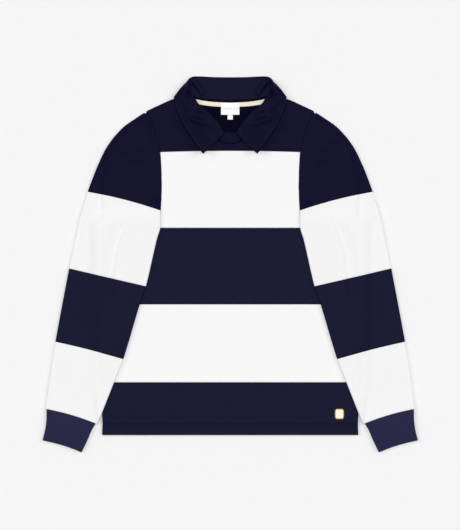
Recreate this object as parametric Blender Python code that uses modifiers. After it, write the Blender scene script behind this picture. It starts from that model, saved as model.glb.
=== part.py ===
# Polo collar sweatshirt laid flat on its back, navy and off-white.
# x runs across the garment to the wearer's left, y up the body, z up from the surface it lies on.
# Sizes are in millimetres until a point is written to a mesh.
import math

import bmesh
import bpy
import numpy as np
from mathutils import Vector

MM = 0.001
CENTRE_Y = -0.46

# Cloth thickness, gap at a seam, and how far the front stands up from the back between its edges
CLOTH = 2.0
SEAM = 0.3
LOFT = 0.6
LOFT_RAMP = 12.0
TRIM = 1.0

# Levels of the body and of a sleeve, and the widths over which a sleeve comes down from the body
BODY_TOP = 2 * CLOTH + SEAM
SLEEVE_THICK = BODY_TOP + LOFT
SLEEVE_STEP = SLEEVE_THICK + SEAM
FOLD = SLEEVE_THICK / 2
FLOOR_RAMP = 14.0
TOP_RAMP = 26.0
CUFF_RAMP_SHARE = 0.46
CUFF_RAMP_LEVELS = (-290.0, -200.0)
CAP_SEAM_RAMP = 7.0

# Where one coloured panel of the body ends and the next begins
YOKE_Y = 215.0
CHEST_Y = 68.6
MIDDLE_Y = -76.2
WAIST_Y = -224.2
HEM_Y = -324.1
HEM_STITCH_Y = -304.0
HEM_RISE = 0.8
HEM_STEP = 3.0
YOKE_BOW = 2.5
BOW_START_Y = 150.0

# Side edge of the body: y, half width
SIDE_EDGE = [(HEM_Y, 243.0), (-304.0, 242.4), (-280.0, 243.2), (60.0, 243.0), (74.0, 242.0)]

# Front armhole down to the underarm: y, x. The part below 101.7 lies under the sleeve.
FRONT_ARMHOLE = [(74.0, 242.0), (75.5, 205.0), (77.0, 175.0), (80.0, 150.0), (86.0, 137.0), (94.0, 132.5),
                 (101.7, 131.7), (123.5, 130.5), (146.7, 129.8), (181.3, 130.5), (YOKE_Y, 132.4),
                 (255.0, 143.5), (290.5, 158.1)]
# Back armhole: y, x
BACK_ARMHOLE = [(74.0, 242.0), (104.0, 239.0), (130.0, 232.0), (170.0, 214.0), (YOKE_Y, 192.0),
                (255.0, 174.0), (290.5, 158.1)]
FOLD_START_Y = 101.7
BACK_SEAM_Y = 130.0

# Outlines seen from above: x, y
SHOULDER = [(84.0, 317.0), (98.0, 310.6), (104.0, 311.6), (107.4, 313.0), (131.1, 303.2), (158.1, 290.5)]
FRONT_NECK = [(0.0, 228.6), (7.0, 228.9), (14.0, 230.6), (20.7, 233.9), (38.0, 247.0), (57.0, 268.0),
              (71.0, 286.0), (80.5, 302.0), (84.0, 317.0)]
BACK_NECK = [(0.0, 309.0), (30.0, 310.3), (54.0, 313.2), (66.9, 316.0), (84.0, 317.0)]
SLEEVE_OUTER = [(158.1, 290.5), (177.3, 277.8), (200.3, 261.8), (214.1, 248.0), (223.3, 237.5),
                (237.1, 216.8), (250.8, 188.1), (260.1, 165.1), (270.2, 137.4), (285.4, 89.1), (298.1, 27.4),
                (305.7, -8.4), (331.6, -146.9), (340.5, -201.6), (350.6, -275.7)]
SLEEVE_INNER = [(131.7, 101.7), (132.4, 69.2), (139.1, 46.4), (159.6, -42.2), (171.2, -76.2),
                (202.4, -179.7), (220.4, -225.0), (251.4, -303.6)]
CUFF_OUTER = [(348.6, -277.2), (348.8, -297.5), (351.5, -316.0), (355.9, -334.0)]
CUFF_INNER = [(256.6, -304.8), (263.2, -316.2), (271.1, -334.8), (281.8, -356.8)]
# Rows of the two sleeve outlines where a band ends: outer row, inner row
CAP_END = (8, 0)
UPPER_END = (11, 3)
MIDDLE_END = (12, 5)
LOWER_END = (14, 7)
CAP_BOW = 2.8
MIDDLE_BOW = 1.4
CUFF_BOW = 2.9
CUFF_END_BOW = 2.0

# Columns and rows of points, as fractions across and down a piece. EDGE_STOP follows the body's side edge.
EDGE_STOP = 0.8
EDGE_COLUMN_X = 243.8
BODY_COLUMNS = [0.0, 0.16, 0.32, 0.46, 0.58, 0.7, 0.82, 0.91, 0.955, 1.0]
UPPER_STOPS = [0.0, 0.05, 0.2, 0.4, 0.6, EDGE_STOP, 0.87, 0.93, 1.0]
LOWER_STOPS = [0.0, 0.3, 0.55, EDGE_STOP, 0.87, 0.94, 1.0]
UNDER_STOPS = [0.0, 0.04, 0.08, 0.15, 0.32, 0.54, EDGE_STOP, 0.87, 0.93, 1.0]
CAP_STOPS = [0.0, 0.05, 0.15, 0.3, 0.45, 0.6, 0.75, 0.9, 1.0]
CAP_LEVELS = [0.04, 0.15, 0.32, 0.45, 0.6, 0.73, 0.84, 0.93, 1.0]
NECK_SHARE = 0.55
FOLD_STEPS = 4

# Edge of the collar's fall where it lies under the back: x, y
FALL_EDGE = [(0.0, 299.0), (32.0, 299.2), (62.0, 300.0), (84.0, 302.0), (107.0, 312.0)]
NECK_LIFT = CLOTH + SEAM
NECK_RAMP = 30.0

# Collar stations from the front end to the centre back. Each has the neck seam, the roll, the middle of the
# fall and its free edge as x, y, z, then the turn of the roll from front (0) to back (180) and the direction
# in which the fall leaves it, both in degrees.
COLLAR = [
    ((23.0, 237.8, 4.2), (13.6, 246.6, 9.4), (31.4, 229.2, 10.4), (50.7, 212.4, 9.8), 0, -46),
    ((38.6, 249.4, 4.2), (20.8, 262.4, 9.4), (43.5, 243.0, 10.6), (64.8, 226.2, 9.6), 0, -42),
    ((56.8, 270.2, 4.4), (34.4, 279.2, 9.4), (57.0, 261.0, 10.4), (79.0, 245.4, 9.2), 0, -40),
    ((69.0, 287.4, 4.6), (48.8, 292.2, 9.8), (69.8, 277.2, 10.6), (89.4, 262.4, 9.0), 0, -38),
    ((76.6, 301.4, 5.4), (61.0, 301.2, 11.0), (80.0, 290.0, 11.2), (96.6, 278.8, 8.4), 4, -34),
    ((79.2, 309.8, 6.0), (69.4, 313.6, 12.4), (88.0, 303.6, 12.2), (103.2, 293.6, 9.6), 15, -30),
    ((78.8, 314.2, 6.4), (76.8, 321.6, 13.8), (93.6, 313.8, 13.0), (105.8, 305.6, 10.2), 35, -20),
    ((77.0, 317.0, 6.0), (79.4, 328.2, 14.0), (95.6, 321.4, 11.8), (106.6, 313.8, 9.4), 60, -4),
    ((74.5, 318.0, 5.0), (79.6, 335.2, 12.4), (95.8, 328.6, 8.4), (105.8, 316.8, 4.6), 86, 15),
    ((71.5, 317.8, 4.3), (79.0, 342.4, 9.8), (93.0, 333.6, 4.8), (104.4, 313.4, 1.0), 115, 38),
    ((68.0, 317.0, 3.8), (76.6, 348.6, 6.6), (87.0, 337.4, 2.2), (98.0, 306.6, 1.0), 145, 58),
    ((62.0, 315.8, 3.5), (70.8, 353.0, 3.6), (75.0, 330.0, 1.0), (84.0, 302.4, 1.0), 174, 78),
    ((53.0, 313.9, 3.3), (58.0, 353.7, 2.3), (60.0, 328.0, 1.0), (62.0, 300.2, 1.0), 180, 88),
    ((30.0, 310.9, 3.3), (31.0, 352.4, 2.3), (32.0, 326.0, 1.0), (32.0, 299.4, 1.0), 180, 90),
    ((0.0, 309.6, 3.3), (0.0, 352.0, 2.3), (0.0, 326.0, 1.0), (0.0, 299.2, 1.0), 180, 90),
]
COLLAR_STEPS = 24
ROLL_RADIUS = 1.4

# Small pieces. The neck band ends at row BAND_ROW of the neck; label and tab are half width, bottom, top.
BAND_ROW = 3
BAND_TOP_Y = 250.0
BAND_TOP_X = 12.5
TAPE_WIDTH = 8.6
TAPE_DROP = 2.0
TAPE_END_X = 70.0
TAPE_EDGE_Y = 293.0
LABEL = (17.5, 284.0, 306.7)
TAB = (5.0, 275.0, 283.7)
PATCH_CENTRE = (206.9, -283.9)
PATCH_SIZE = (16.5, 19.0)
PATCH_CORNER = 0.16

# Ribs on each face of a cuff, and how many points lie before the back's first one
RIBS = 19
RIB_RISE = 0.5
RIB_BACK = 2 * RIBS + FOLD_STEPS

NAVY = (0.012, 0.013, 0.032, 1.0)
NAVY_RIB = (0.025, 0.025, 0.063, 1.0)
WHITE = (0.86, 0.86, 0.85, 1.0)
CREAM = (0.78, 0.74, 0.62, 1.0)
GOLD = (0.70, 0.55, 0.18, 1.0)


class Route:
    """A smooth line through points, read by the fraction of its length."""

    def __init__(self, points):
        self.points = [Vector(p) for p in points]
        steps = [(b - a).length for a, b in zip(self.points, self.points[1:])]
        self.at = [sum(steps[:k]) for k in range(len(self.points))]
        self.length = self.at[-1]

    def fraction(self, row):
        return self.at[row] / self.length

    def slope(self, k):
        low, high = max(k - 1, 0), min(k + 1, len(self.points) - 1)
        return (self.points[high] - self.points[low]) / (self.at[high] - self.at[low])

    def __call__(self, fraction):
        s = min(max(fraction, 0.0), 1.0) * self.length
        k = min(max(i for i, a in enumerate(self.at) if a <= s), len(self.at) - 2)
        span = self.at[k + 1] - self.at[k]
        t = (s - self.at[k]) / span
        a, b = self.points[k], self.points[k + 1]
        return (a * (2 * t**3 - 3 * t**2 + 1) + self.slope(k) * span * (t**3 - 2 * t**2 + t)
                + b * (3 * t**2 - 2 * t**3) + self.slope(k + 1) * span * (t**3 - t**2))


def part_of(route, start, end):
    """The stretch of a route between two of its fractions."""
    return lambda t: route(start + (end - start) * t)


def line(a, b, bow=0.0):
    """A straight line from a to b, bowed sideways by bow at its middle."""
    a, b = Vector(a), Vector(b)
    side = Vector((a.y - b.y, b.x - a.x)).normalized()
    return lambda t: a.lerp(b, t) + side * bow * 4 * t * (1 - t)


def patch(left, right, first, last):
    """A surface between four lines: left and right run from first (v = 0) to last (v = 1)."""
    def point(u, v):
        across = first(u) * (1 - v) + last(u) * v
        along = left(v) * (1 - u) + right(v) * u
        corners = (first(0) * (1 - u) + first(1) * u) * (1 - v) + (last(0) * (1 - u) + last(1) * u) * v
        return across + along - corners
    return point


def ease(t):
    t = min(max(t, 0.0), 1.0)
    return t * t * (3 - 2 * t)


def across_at(table, y):
    """The x of a table of (y, x) rows at height y."""
    return float(np.interp(y, [row[0] for row in table], [row[1] for row in table]))


def edge_y(outline, x):
    """The y of an outline of (x, y) points at x."""
    return float(np.interp(abs(x), [p[0] for p in outline], [p[1] for p in outline]))


def away(x, y, outline):
    """Distance from a point to a line of straight stretches."""
    here = Vector((x, y))
    nearest = math.inf
    for a, b in zip(outline, outline[1:]):
        a, b = Vector(a), Vector(b)
        t = min(max((here - a).dot(b - a) / (b - a).length_squared, 0.0), 1.0)
        nearest = min(nearest, (a.lerp(b, t) - here).length)
    return nearest


HIDDEN_ARMHOLE = [(x, y) for y, x in FRONT_ARMHOLE if y <= FOLD_START_Y]
FRONT_EDGE = [(x, y) for y, x in SIDE_EDGE[:-1]] + HIDDEN_ARMHOLE


def beyond_front(x, y):
    """How far a point lies outside the part of the front that carries the sleeve."""
    top = edge_y(HIDDEN_ARMHOLE[::-1], x)
    if y < top and x < across_at(SIDE_EDGE, y):
        return 0.0
    return away(x, y, FRONT_EDGE)


def neck_lift(x, y):
    """How far the collar's fall, lying under the back, lifts the yokes."""
    x = abs(x)
    out_y = max(0.0, edge_y(FALL_EDGE, x) - y)
    out_x = max(0.0, x - FALL_EDGE[-1][0])
    return NECK_LIFT * (1 - ease(math.hypot(out_x, out_y) / NECK_RAMP))


def back_top(x, y):
    return CLOTH + neck_lift(x, y)


def front_top(x, y):
    """Upper face of the front, which comes down to the back at its free edges."""
    x = abs(x)
    loft = ease((across_at(SIDE_EDGE, y) - x) / LOFT_RAMP) if y < FOLD_START_Y else 1.0
    if y > YOKE_Y:
        loft = ease((edge_y(SHOULDER, x) - y) / LOFT_RAMP)
    hem = HEM_RISE * ease((HEM_STITCH_Y + HEM_STEP / 2 - y) / HEM_STEP)
    return BODY_TOP + LOFT * loft + hem + neck_lift(x, y)


def sleeve_floor(x, y):
    """Underside of the sleeve: on the surface, and on the front where it lies over it."""
    return SLEEVE_STEP * (1 - ease((beyond_front(x, y) - 0.5) / FLOOR_RAMP))


def sleeve_top(x, y):
    """Upper face of the sleeve, which falls away from the front more softly than its underside."""
    low, high = CUFF_RAMP_LEVELS
    ramp = TOP_RAMP * (CUFF_RAMP_SHARE + (1 - CUFF_RAMP_SHARE) * ease((y - low) / (high - low)))
    return SLEEVE_THICK + SLEEVE_STEP * (1 - ease((beyond_front(x, y) - 4.0) / ramp))


def material(name, colour, roughness=0.9):
    made = bpy.data.materials.new(name)
    made.use_nodes = True
    shader = made.node_tree.nodes["Principled BSDF"]
    shader.inputs["Base Color"].default_value = colour
    shader.inputs["Roughness"].default_value = roughness
    shader.inputs["Metallic"].default_value = 0.0
    return made


def sheet(name, rows, colour, thickness=CLOTH, ring=False, flip=False, mirror=False, offset=-1.0):
    """A wall of cloth from a grid of points on its upper or outer face."""
    columns = len(rows[0]) - 1
    steps = len(rows) - 1
    shape = bmesh.new()
    bmesh.ops.create_grid(shape, x_segments=columns, y_segments=steps, size=1.0)
    for vert in shape.verts:
        i = round((vert.co.x + 1) / 2 * columns)
        j = round((vert.co.y + 1) / 2 * steps)
        x, y, z = rows[j][i]
        vert.co = Vector((x, y - CENTRE_Y, z)) * MM
    if ring:
        bmesh.ops.remove_doubles(shape, verts=shape.verts[:], dist=1e-7)
    if flip:
        bmesh.ops.reverse_faces(shape, faces=shape.faces[:])
    mesh = bpy.data.meshes.new(name)
    shape.to_mesh(mesh)
    shape.free()
    mesh.shade_smooth()
    obj = bpy.data.objects.new(name, mesh)
    obj.data.materials.append(material(name, colour))
    garment.objects.link(obj)
    if mirror:
        halves = obj.modifiers.new("Mirror", "MIRROR")
        halves.use_clip = True
        halves.merge_threshold = 0.0001
    wall = obj.modifiers.new("Solidify", "SOLIDIFY")
    wall.thickness = thickness * MM
    wall.offset = offset
    wall.use_quality_normals = True
    return obj


def body_panel(name, colour, armhole, height, bottom, top, levels):
    """One striped panel of the front or back, made as a half and mirrored."""
    side = SIDE_EDGE[:-1] + armhole
    ys = [bottom] + [y for y in levels if bottom < y < top] + [top]
    rows = []
    for y in ys:
        half = across_at(side, y)
        bow = YOKE_BOW * ease((y - BOW_START_Y) / (YOKE_Y - BOW_START_Y))
        row = []
        for u in BODY_COLUMNS:
            x, lifted = half * u, y + bow * (1 - u * u)
            row.append((x, lifted, height(x, lifted)))
        rows.append(row)
    sheet(name, rows, colour, mirror=True)


def yoke(name, armhole, neck, height, levels):
    """The navy top of the front or back, between its lower seam, armhole, shoulder and neck."""
    neck_line, shoulder_line = Route(neck), Route(SHOULDER)
    half = across_at(armhole, YOKE_Y)
    turn = NECK_SHARE

    def top(u):
        return neck_line(u / turn) if u < turn else shoulder_line((u - turn) / (1 - turn))

    def bottom(u):
        return Vector((half * u, YOKE_Y + SEAM + YOKE_BOW * (1 - u * u)))

    def side(v):
        y = YOKE_Y + SEAM + (SHOULDER[-1][1] - YOKE_Y - SEAM) * v
        return Vector((across_at(armhole, y), y))

    surface = patch(line(bottom(0), top(0)), side, bottom, top)
    ends = neck_line.fraction(BAND_ROW)
    us = [turn * ends * k / 4 for k in range(4)] + [turn * (ends + (1 - ends) * k / 5) for k in range(5)]
    us += [turn + (1 - turn) * k / 5 for k in range(6)]
    rows = []
    for v in levels:
        points = [surface(u, v) for u in us]
        rows.append([(p.x, p.y, height(p.x, p.y)) for p in points])
    sheet(name, rows, NAVY, mirror=True)


def fold_points(centre, inward, way):
    """The points between the two faces at a fold: way is 1 for the outer fold and -1 for the inner one."""
    top, low = sleeve_top(centre.x, centre.y), sleeve_floor(centre.x, centre.y)
    points = []
    for k in range(1, FOLD_STEPS):
        turn = math.pi * k / FOLD_STEPS
        p = centre + inward * way * FOLD * math.sin(turn)
        points.append((p.x, p.y, (top + low) / 2 + way * (top - low) / 2 * math.cos(turn)))
    return points


def ring_row(upper, lower, inward):
    """A flattened section of a sleeve: over, round the outer fold, back under, round the inner fold."""
    row = [(p.x, p.y, sleeve_top(p.x, p.y)) for p in upper]
    row += fold_points(upper[-1], inward, 1)
    row += [(p.x, p.y, sleeve_floor(p.x, p.y)) for p in reversed(lower)]
    row += fold_points(upper[0], inward, -1)
    return row + [row[0]]


def steps_along(stops, inner_x, outer_x):
    """Moves the columns of a sleeve's row so that one of them, EDGE_STOP, follows the body's side edge."""
    crossing = min(max((EDGE_COLUMN_X - inner_x) / (outer_x - inner_x), 0.25), 0.9)
    return [s * crossing / EDGE_STOP if s <= EDGE_STOP else 1 - (1 - s) * (1 - crossing) / (1 - EDGE_STOP)
            for s in stops]


def band_line(end, shift):
    """Ends of a band's line on the inner and outer outlines, moved along by shift."""
    return (inner_line.fraction(end[1]) + shift / inner_line.length,
            outer_line.fraction(end[0]) + shift / outer_line.length)


def inset(left, right):
    """Two outlines moved towards each other by the radius of a fold, and the way from left to right."""
    def inward(v):
        return (right(v) - left(v)).normalized()
    return lambda v: left(v) + inward(v) * FOLD, lambda v: right(v) - inward(v) * FOLD, inward


def sleeve_band(name, side, colour, start, end, start_bow, end_bow, count, under=None):
    """One tubular band of a sleeve. under gives the upper edge of its lower face where it isn't straight."""
    in0, out0 = band_line(start, SEAM / 2)
    in1, out1 = band_line(end, -SEAM / 2)
    left, right, inward = inset(part_of(inner_line, in0, in1), part_of(outer_line, out0, out1))
    first, last = line(left(0), right(0), start_bow), line(left(1), right(1), end_bow)
    upper = patch(left, right, first, last)
    lower = patch(left, right, under(left(0), right(0)) if under else first, last)
    rows = []
    for k in range(count + 1):
        v = (k / count)**(1.3 if under else 1.0)
        ups = steps_along(UPPER_STOPS, left(v).x, right(v).x)
        downs = steps_along(UNDER_STOPS if under else LOWER_STOPS, left(v).x, right(v).x)
        if under and k == 0:
            downs = UNDER_STOPS
        rows.append(ring_row([upper(u, v) for u in ups], [lower(u, v) for u in downs], inward(v)))
    sheet(name, placed(rows, side), colour, ring=True, flip=side > 0)


def placed(rows, side):
    return [[(side * x, y, z) for x, y, z in row] for row in rows]


def under_edge(inner, outer):
    """Where the sleeve's lower face meets the body: along the armhole, round the underarm, up the back."""
    gap = SEAM + 0.2
    start_x, end_x = HIDDEN_ARMHOLE[-1][0], HIDDEN_ARMHOLE[1][0]
    path = [inner] + [Vector((x + FOLD * (end_x - x) / (end_x - start_x), y - gap))
                      for x, y in reversed(HIDDEN_ARMHOLE[1:-1])]
    path += [Vector((x + gap, min(y, BACK_SEAM_Y - SEAM))) for y, x in BACK_ARMHOLE[:3]] + [outer]

    def point(t):
        k = min(max(i for i, s in enumerate(UNDER_STOPS) if s <= t), len(UNDER_STOPS) - 2)
        return path[k].lerp(path[k + 1], (t - UNDER_STOPS[k]) / (UNDER_STOPS[k + 1] - UNDER_STOPS[k]))
    return point


def sleeve_cap(side):
    """The navy top of a sleeve, folded over the shoulder line between the two armhole seams."""
    gap = SEAM + 0.1
    out_end = outer_line.fraction(CAP_END[0]) - SEAM / 2 / outer_line.length
    top_y = SHOULDER[-1][1]

    def front_seam(t):
        y = top_y + (FOLD_START_Y + SEAM / 2 - top_y) * t
        return Vector((across_at(FRONT_ARMHOLE, y) + gap, y))

    def back_seam(t):
        y = top_y + (BACK_SEAM_Y + SEAM / 2 - top_y) * t
        return Vector((across_at(BACK_ARMHOLE, y) + gap, y))

    outer = part_of(outer_line, 0.0, out_end)
    upper = patch(front_seam, outer, line(front_seam(0), outer(0)), line(front_seam(1), outer(1), CAP_BOW))
    lower = patch(back_seam, outer, line(back_seam(0), outer(0)), line(back_seam(1), outer(1)))
    rows = []
    for t in CAP_LEVELS:
        inward = (outer(t) - front_seam(t)).normalized()
        row = []
        for u in CAP_STOPS:
            p = upper(u, t) - inward * FOLD * u
            rise = ease((p - front_seam(t)).length / CAP_SEAM_RAMP)
            flush = front_top(p.x, p.y) if u == 0 else SLEEVE_THICK
            row.append((p.x, p.y, flush + (sleeve_top(p.x, p.y) - flush) * rise))
        row += fold_points(outer(t) - inward * FOLD, inward, 1)
        for u in (1.0, 0.5, 0.0):
            p = lower(u, t) - inward * FOLD * u
            row.append((p.x, p.y, 0.0))
        rows.append(row)
    sheet("sleeve_cap_" + ("left" if side > 0 else "right"), placed(rows, side), NAVY, flip=side > 0)


def cuff(side):
    """A ribbed cuff: the ribs stand on the outer points of a plain wall."""
    left, right, inward = inset(Route(CUFF_INNER), Route(CUFF_OUTER))
    rows = []
    for v in (0.0, 0.35, 0.7, 1.0):
        across = line(left(v), right(v), CUFF_BOW * (1 - v) + CUFF_END_BOW * v)
        points = [across(k / (2 * RIBS)) for k in range(2 * RIBS + 1)]
        rows.append([(x, y, z + RIB_RISE) for x, y, z in ring_row(points, points, inward(v))])
    name = "cuff_" + ("left" if side > 0 else "right")
    wall = sheet(name, placed(rows, side), NAVY_RIB, ring=True, flip=side > 0)
    crest_points = {tuple(round(c, 3) for c in p) for row in placed(rows, side)
                    for p in row[0:2 * RIBS + 1:2] + row[RIB_BACK:RIB_BACK + 2 * RIBS + 1:2]}
    crests = wall.vertex_groups.new(name="crests")
    wall.vertex_groups.new(name="inside")
    for vert in wall.data.vertices:
        x, y, z = vert.co / MM
        if (round(x, 3), round(y + CENTRE_Y, 3), round(z, 3)) in crest_points:
            crests.add([vert.index], 1.0, "REPLACE")
    wall.modifiers["Solidify"].shell_vertex_group = "inside"
    outside = wall.modifiers.new("Outside only", "VERTEX_WEIGHT_MIX")
    outside.vertex_group_a = "crests"
    outside.vertex_group_b = "inside"
    outside.mix_mode = "SUB"
    outside.mix_set = "ALL"
    ribs = wall.modifiers.new("Ribs", "DISPLACE")
    ribs.vertex_group = "crests"
    ribs.strength = RIB_RISE * MM
    ribs.mid_level = 0.0


def collar():
    """One folded piece: up the stand, over the roll and down the fall, swept round the neck."""
    lines = [Route([station[k] for station in COLLAR]) for k in range(4)]
    shares = [[station_line.fraction(k) for k in range(len(COLLAR))] for station_line in lines]
    rows = []
    for step in range(COLLAR_STEPS + 1):
        place = step / COLLAR_STEPS * (len(COLLAR) - 1)
        k = min(int(place), len(COLLAR) - 2)
        seam, roll, fall, edge = [each(share[k] + (share[k + 1] - share[k]) * (place - k))
                                  for each, share in zip(lines, shares)]
        turn = math.radians(float(np.interp(place, range(len(COLLAR)), [s[4] for s in COLLAR])))
        facing = math.radians(float(np.interp(place, range(len(COLLAR)), [s[5] for s in COLLAR])))
        out = Vector((math.cos(facing), math.sin(facing), 0.0))
        up = Vector((0.0, 0.0, 1.0))
        tip = up * math.sin(turn) - out * math.cos(turn)
        side = up * math.cos(turn) + out * math.sin(turn)
        radius = ROLL_RADIUS * (1 + math.sin(turn)**2)
        arc = [roll + side * radius * -math.cos(a) + tip * radius * math.sin(a)
               for a in (0.0, math.pi / 3, 2 * math.pi / 3, math.pi)]
        stand = [seam.lerp(arc[0], t) for t in (0.0, 0.35, 0.7)]
        leaf = Route([arc[3], fall, edge])
        row = stand + arc + [leaf(t) for t in (0.25, 0.5, 0.75, 1.0)]
        rows.append([(p.x, p.y, max(p.z, CLOTH / 2)) for p in row])
    for p in range(len(rows[-1])):
        rows[-1][p] = (0.0, rows[-1][p][1], rows[-1][p][2])
    sheet("collar", rows, NAVY, mirror=True, offset=0.0)


def flat_piece(name, colour, half_width, ys, height):
    """A small strip centred on the neck, lying on what height gives."""
    xs = [half_width * k / 4 for k in range(5)]
    rows = [[(x, y, height(x, y) + SEAM + TRIM) for x in xs] for y in ys]
    sheet(name, rows, colour, thickness=TRIM, mirror=True)


def neck_band():
    """The navy crescent at the centre front, between the two ends of the collar."""
    neck_line = Route(FRONT_NECK)
    rows = []
    for v in (0.0, 0.33, 0.66, 1.0):
        row = []
        for u in (0.0, 0.25, 0.5, 0.75, 1.0, 1.03):
            low = neck_line(u * neck_line.fraction(BAND_ROW)) + Vector((0.0, SEAM + 0.1))
            high = Vector((BAND_TOP_X * u, BAND_TOP_Y))
            p = low.lerp(high, v)
            row.append((p.x, p.y, front_top(p.x, p.y)))
        rows.append(row)
    sheet("neck_band", rows, NAVY, mirror=True)


def neck_tape():
    """The cream tape over the back neck seam, inside the neck."""
    neck_line = Route(BACK_NECK)
    rows = []
    for drop in (TAPE_DROP + TAPE_WIDTH, TAPE_DROP + TAPE_WIDTH / 2, TAPE_DROP):
        row = []
        for k in range(9):
            p = neck_line(k / 8 * TAPE_END_X / neck_line.length)
            row.append((p.x, p.y - drop, back_top(p.x, p.y - drop) + SEAM + TRIM))
        rows.append(row)
    sheet("neck_tape", rows, CREAM, thickness=TRIM, mirror=True)


def over_tape(x, y):
    """What the neck label lies on: the tape at its top and the back yoke below."""
    return back_top(x, y) + (TRIM + SEAM) * ease((y - TAPE_EDGE_Y) / 5.0)


def hem_patch():
    """A plain patch with rounded corners on the front hem."""
    width, height = PATCH_SIZE
    rows = []
    for j in range(7):
        v = math.sin(math.pi / 2 * (2 * j / 6 - 1))
        narrow = 1 - PATCH_CORNER * abs(v)**6
        row = []
        for i in range(5):
            x = PATCH_CENTRE[0] + width / 2 * narrow * (2 * i / 4 - 1)
            y = PATCH_CENTRE[1] + height / 2 * v
            row.append((x, y, front_top(x, y) + SEAM + TRIM))
        rows.append(row)
    sheet("hem_patch", rows, GOLD, thickness=TRIM)


for old in list(bpy.data.objects):
    bpy.data.objects.remove(old)
garment = bpy.data.collections.new("polo_collar_sweatshirt")
bpy.context.scene.collection.children.link(garment)
outer_line, inner_line = Route(SLEEVE_OUTER), Route(SLEEVE_INNER)

for face, armhole, height in (("front", FRONT_ARMHOLE, front_top), ("back", BACK_ARMHOLE, back_top)):
    arm_levels = [y for y, x in armhole]
    body_panel(face + "_hem", NAVY, armhole, height, HEM_Y, WAIST_Y - SEAM, [-305.5, -302.5, -265.0])
    body_panel(face + "_waist", WHITE, armhole, height, WAIST_Y, MIDDLE_Y - SEAM, [-175.0, -125.0])
    body_panel(face + "_middle", NAVY, armhole, height, MIDDLE_Y, CHEST_Y - SEAM, [-28.0, 20.0])
    body_panel(face + "_chest", WHITE, armhole, height, CHEST_Y, YOKE_Y, arm_levels)

yoke("front_yoke", FRONT_ARMHOLE, FRONT_NECK, front_top, [0.0, 0.15, 0.3, 0.5, 0.7, 0.85, 0.94, 1.0])
yoke("back_yoke", BACK_ARMHOLE, BACK_NECK, back_top, [0.0, 0.3, 0.5, 0.65, 0.75, 0.85, 0.93, 1.0])

for side, worn in ((1, "left"), (-1, "right")):
    sleeve_cap(side)
    sleeve_band("sleeve_upper_" + worn, side, WHITE, CAP_END, UPPER_END, CAP_BOW, 0.0, 7, under_edge)
    sleeve_band("sleeve_middle_" + worn, side, NAVY, UPPER_END, MIDDLE_END, 0.0, MIDDLE_BOW, 5)
    sleeve_band("sleeve_lower_" + worn, side, WHITE, MIDDLE_END, LOWER_END, MIDDLE_BOW, CUFF_BOW, 5)
    cuff(side)

collar()
neck_band()
neck_tape()
flat_piece("neck_label", WHITE, LABEL[0], [LABEL[1], 290.0, TAPE_EDGE_Y, 295.5, 298.0, LABEL[2]], over_tape)
flat_piece("size_tab", WHITE, TAB[0], [TAB[1], TAB[2]], back_top)
hem_patch()
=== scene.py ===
import math

import bmesh
import bpy
import numpy as np
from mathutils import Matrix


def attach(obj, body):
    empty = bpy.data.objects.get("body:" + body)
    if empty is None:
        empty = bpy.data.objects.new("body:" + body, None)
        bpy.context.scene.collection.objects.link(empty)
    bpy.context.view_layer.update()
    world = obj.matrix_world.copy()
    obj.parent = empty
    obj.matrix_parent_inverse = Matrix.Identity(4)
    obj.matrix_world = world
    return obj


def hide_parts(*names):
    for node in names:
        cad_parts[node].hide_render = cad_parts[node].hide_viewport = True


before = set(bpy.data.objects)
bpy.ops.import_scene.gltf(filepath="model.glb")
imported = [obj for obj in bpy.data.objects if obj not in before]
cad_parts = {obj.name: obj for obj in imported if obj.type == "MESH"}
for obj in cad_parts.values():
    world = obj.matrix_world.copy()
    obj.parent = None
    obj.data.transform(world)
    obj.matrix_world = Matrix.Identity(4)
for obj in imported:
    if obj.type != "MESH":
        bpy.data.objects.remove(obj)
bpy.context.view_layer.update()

MM = 0.001
CENTRE_Y = -0.46

# Sizes of the solids. Some of them follow the photograph more closely here, by up to 5 mm: YOKE_Y, the collar's
# first two stations, the ends where sleeve and cuff meet, TAPE_DROP, TAPE_EDGE_Y, LABEL and TAB.
CLOTH = 2.0
SEAM = 0.3
LOFT = 0.6
LOFT_RAMP = 12.0
TRIM = 1.0
BODY_TOP = 2 * CLOTH + SEAM
SLEEVE_THICK = BODY_TOP + LOFT
SLEEVE_STEP = SLEEVE_THICK + SEAM
FOLD = SLEEVE_THICK / 2
FLOOR_RAMP = 14.0
TOP_RAMP = 26.0
CUFF_RAMP_SHARE = 0.46
CUFF_RAMP_LEVELS = (-290.0, -200.0)
CAP_SEAM_RAMP = 7.0
YOKE_Y = 212.4
CHEST_Y = 68.6
MIDDLE_Y = -76.2
WAIST_Y = -224.2
HEM_Y = -324.1
HEM_STITCH_Y = -304.0
HEM_RISE = 0.8
HEM_STEP = 3.0
YOKE_BOW = 2.5
BOW_START_Y = 150.0
HALF_WIDTH = 243.0
SIDE_EDGE = [(HEM_Y, HALF_WIDTH), (-304.0, 242.4), (-280.0, 243.2), (60.0, HALF_WIDTH), (74.0, 242.0)]
FRONT_ARMHOLE = [(74.0, 242.0), (75.5, 205.0), (77.0, 175.0), (80.0, 150.0), (86.0, 137.0), (94.0, 132.5),
                 (101.7, 131.7), (123.5, 130.5), (146.7, 129.8), (181.3, 130.5), (YOKE_Y, 132.4),
                 (255.0, 143.5), (290.5, 158.1)]
BACK_ARMHOLE = [(74.0, 242.0), (104.0, 239.0), (130.0, 232.0), (170.0, 214.0), (YOKE_Y, 192.0),
                (255.0, 174.0), (290.5, 158.1)]
FOLD_START_Y = 101.7
BACK_SEAM_Y = 130.0
SHOULDER = [(84.0, 317.0), (98.0, 310.6), (104.0, 311.6), (107.4, 313.0), (131.1, 303.2), (158.1, 290.5)]
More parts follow.
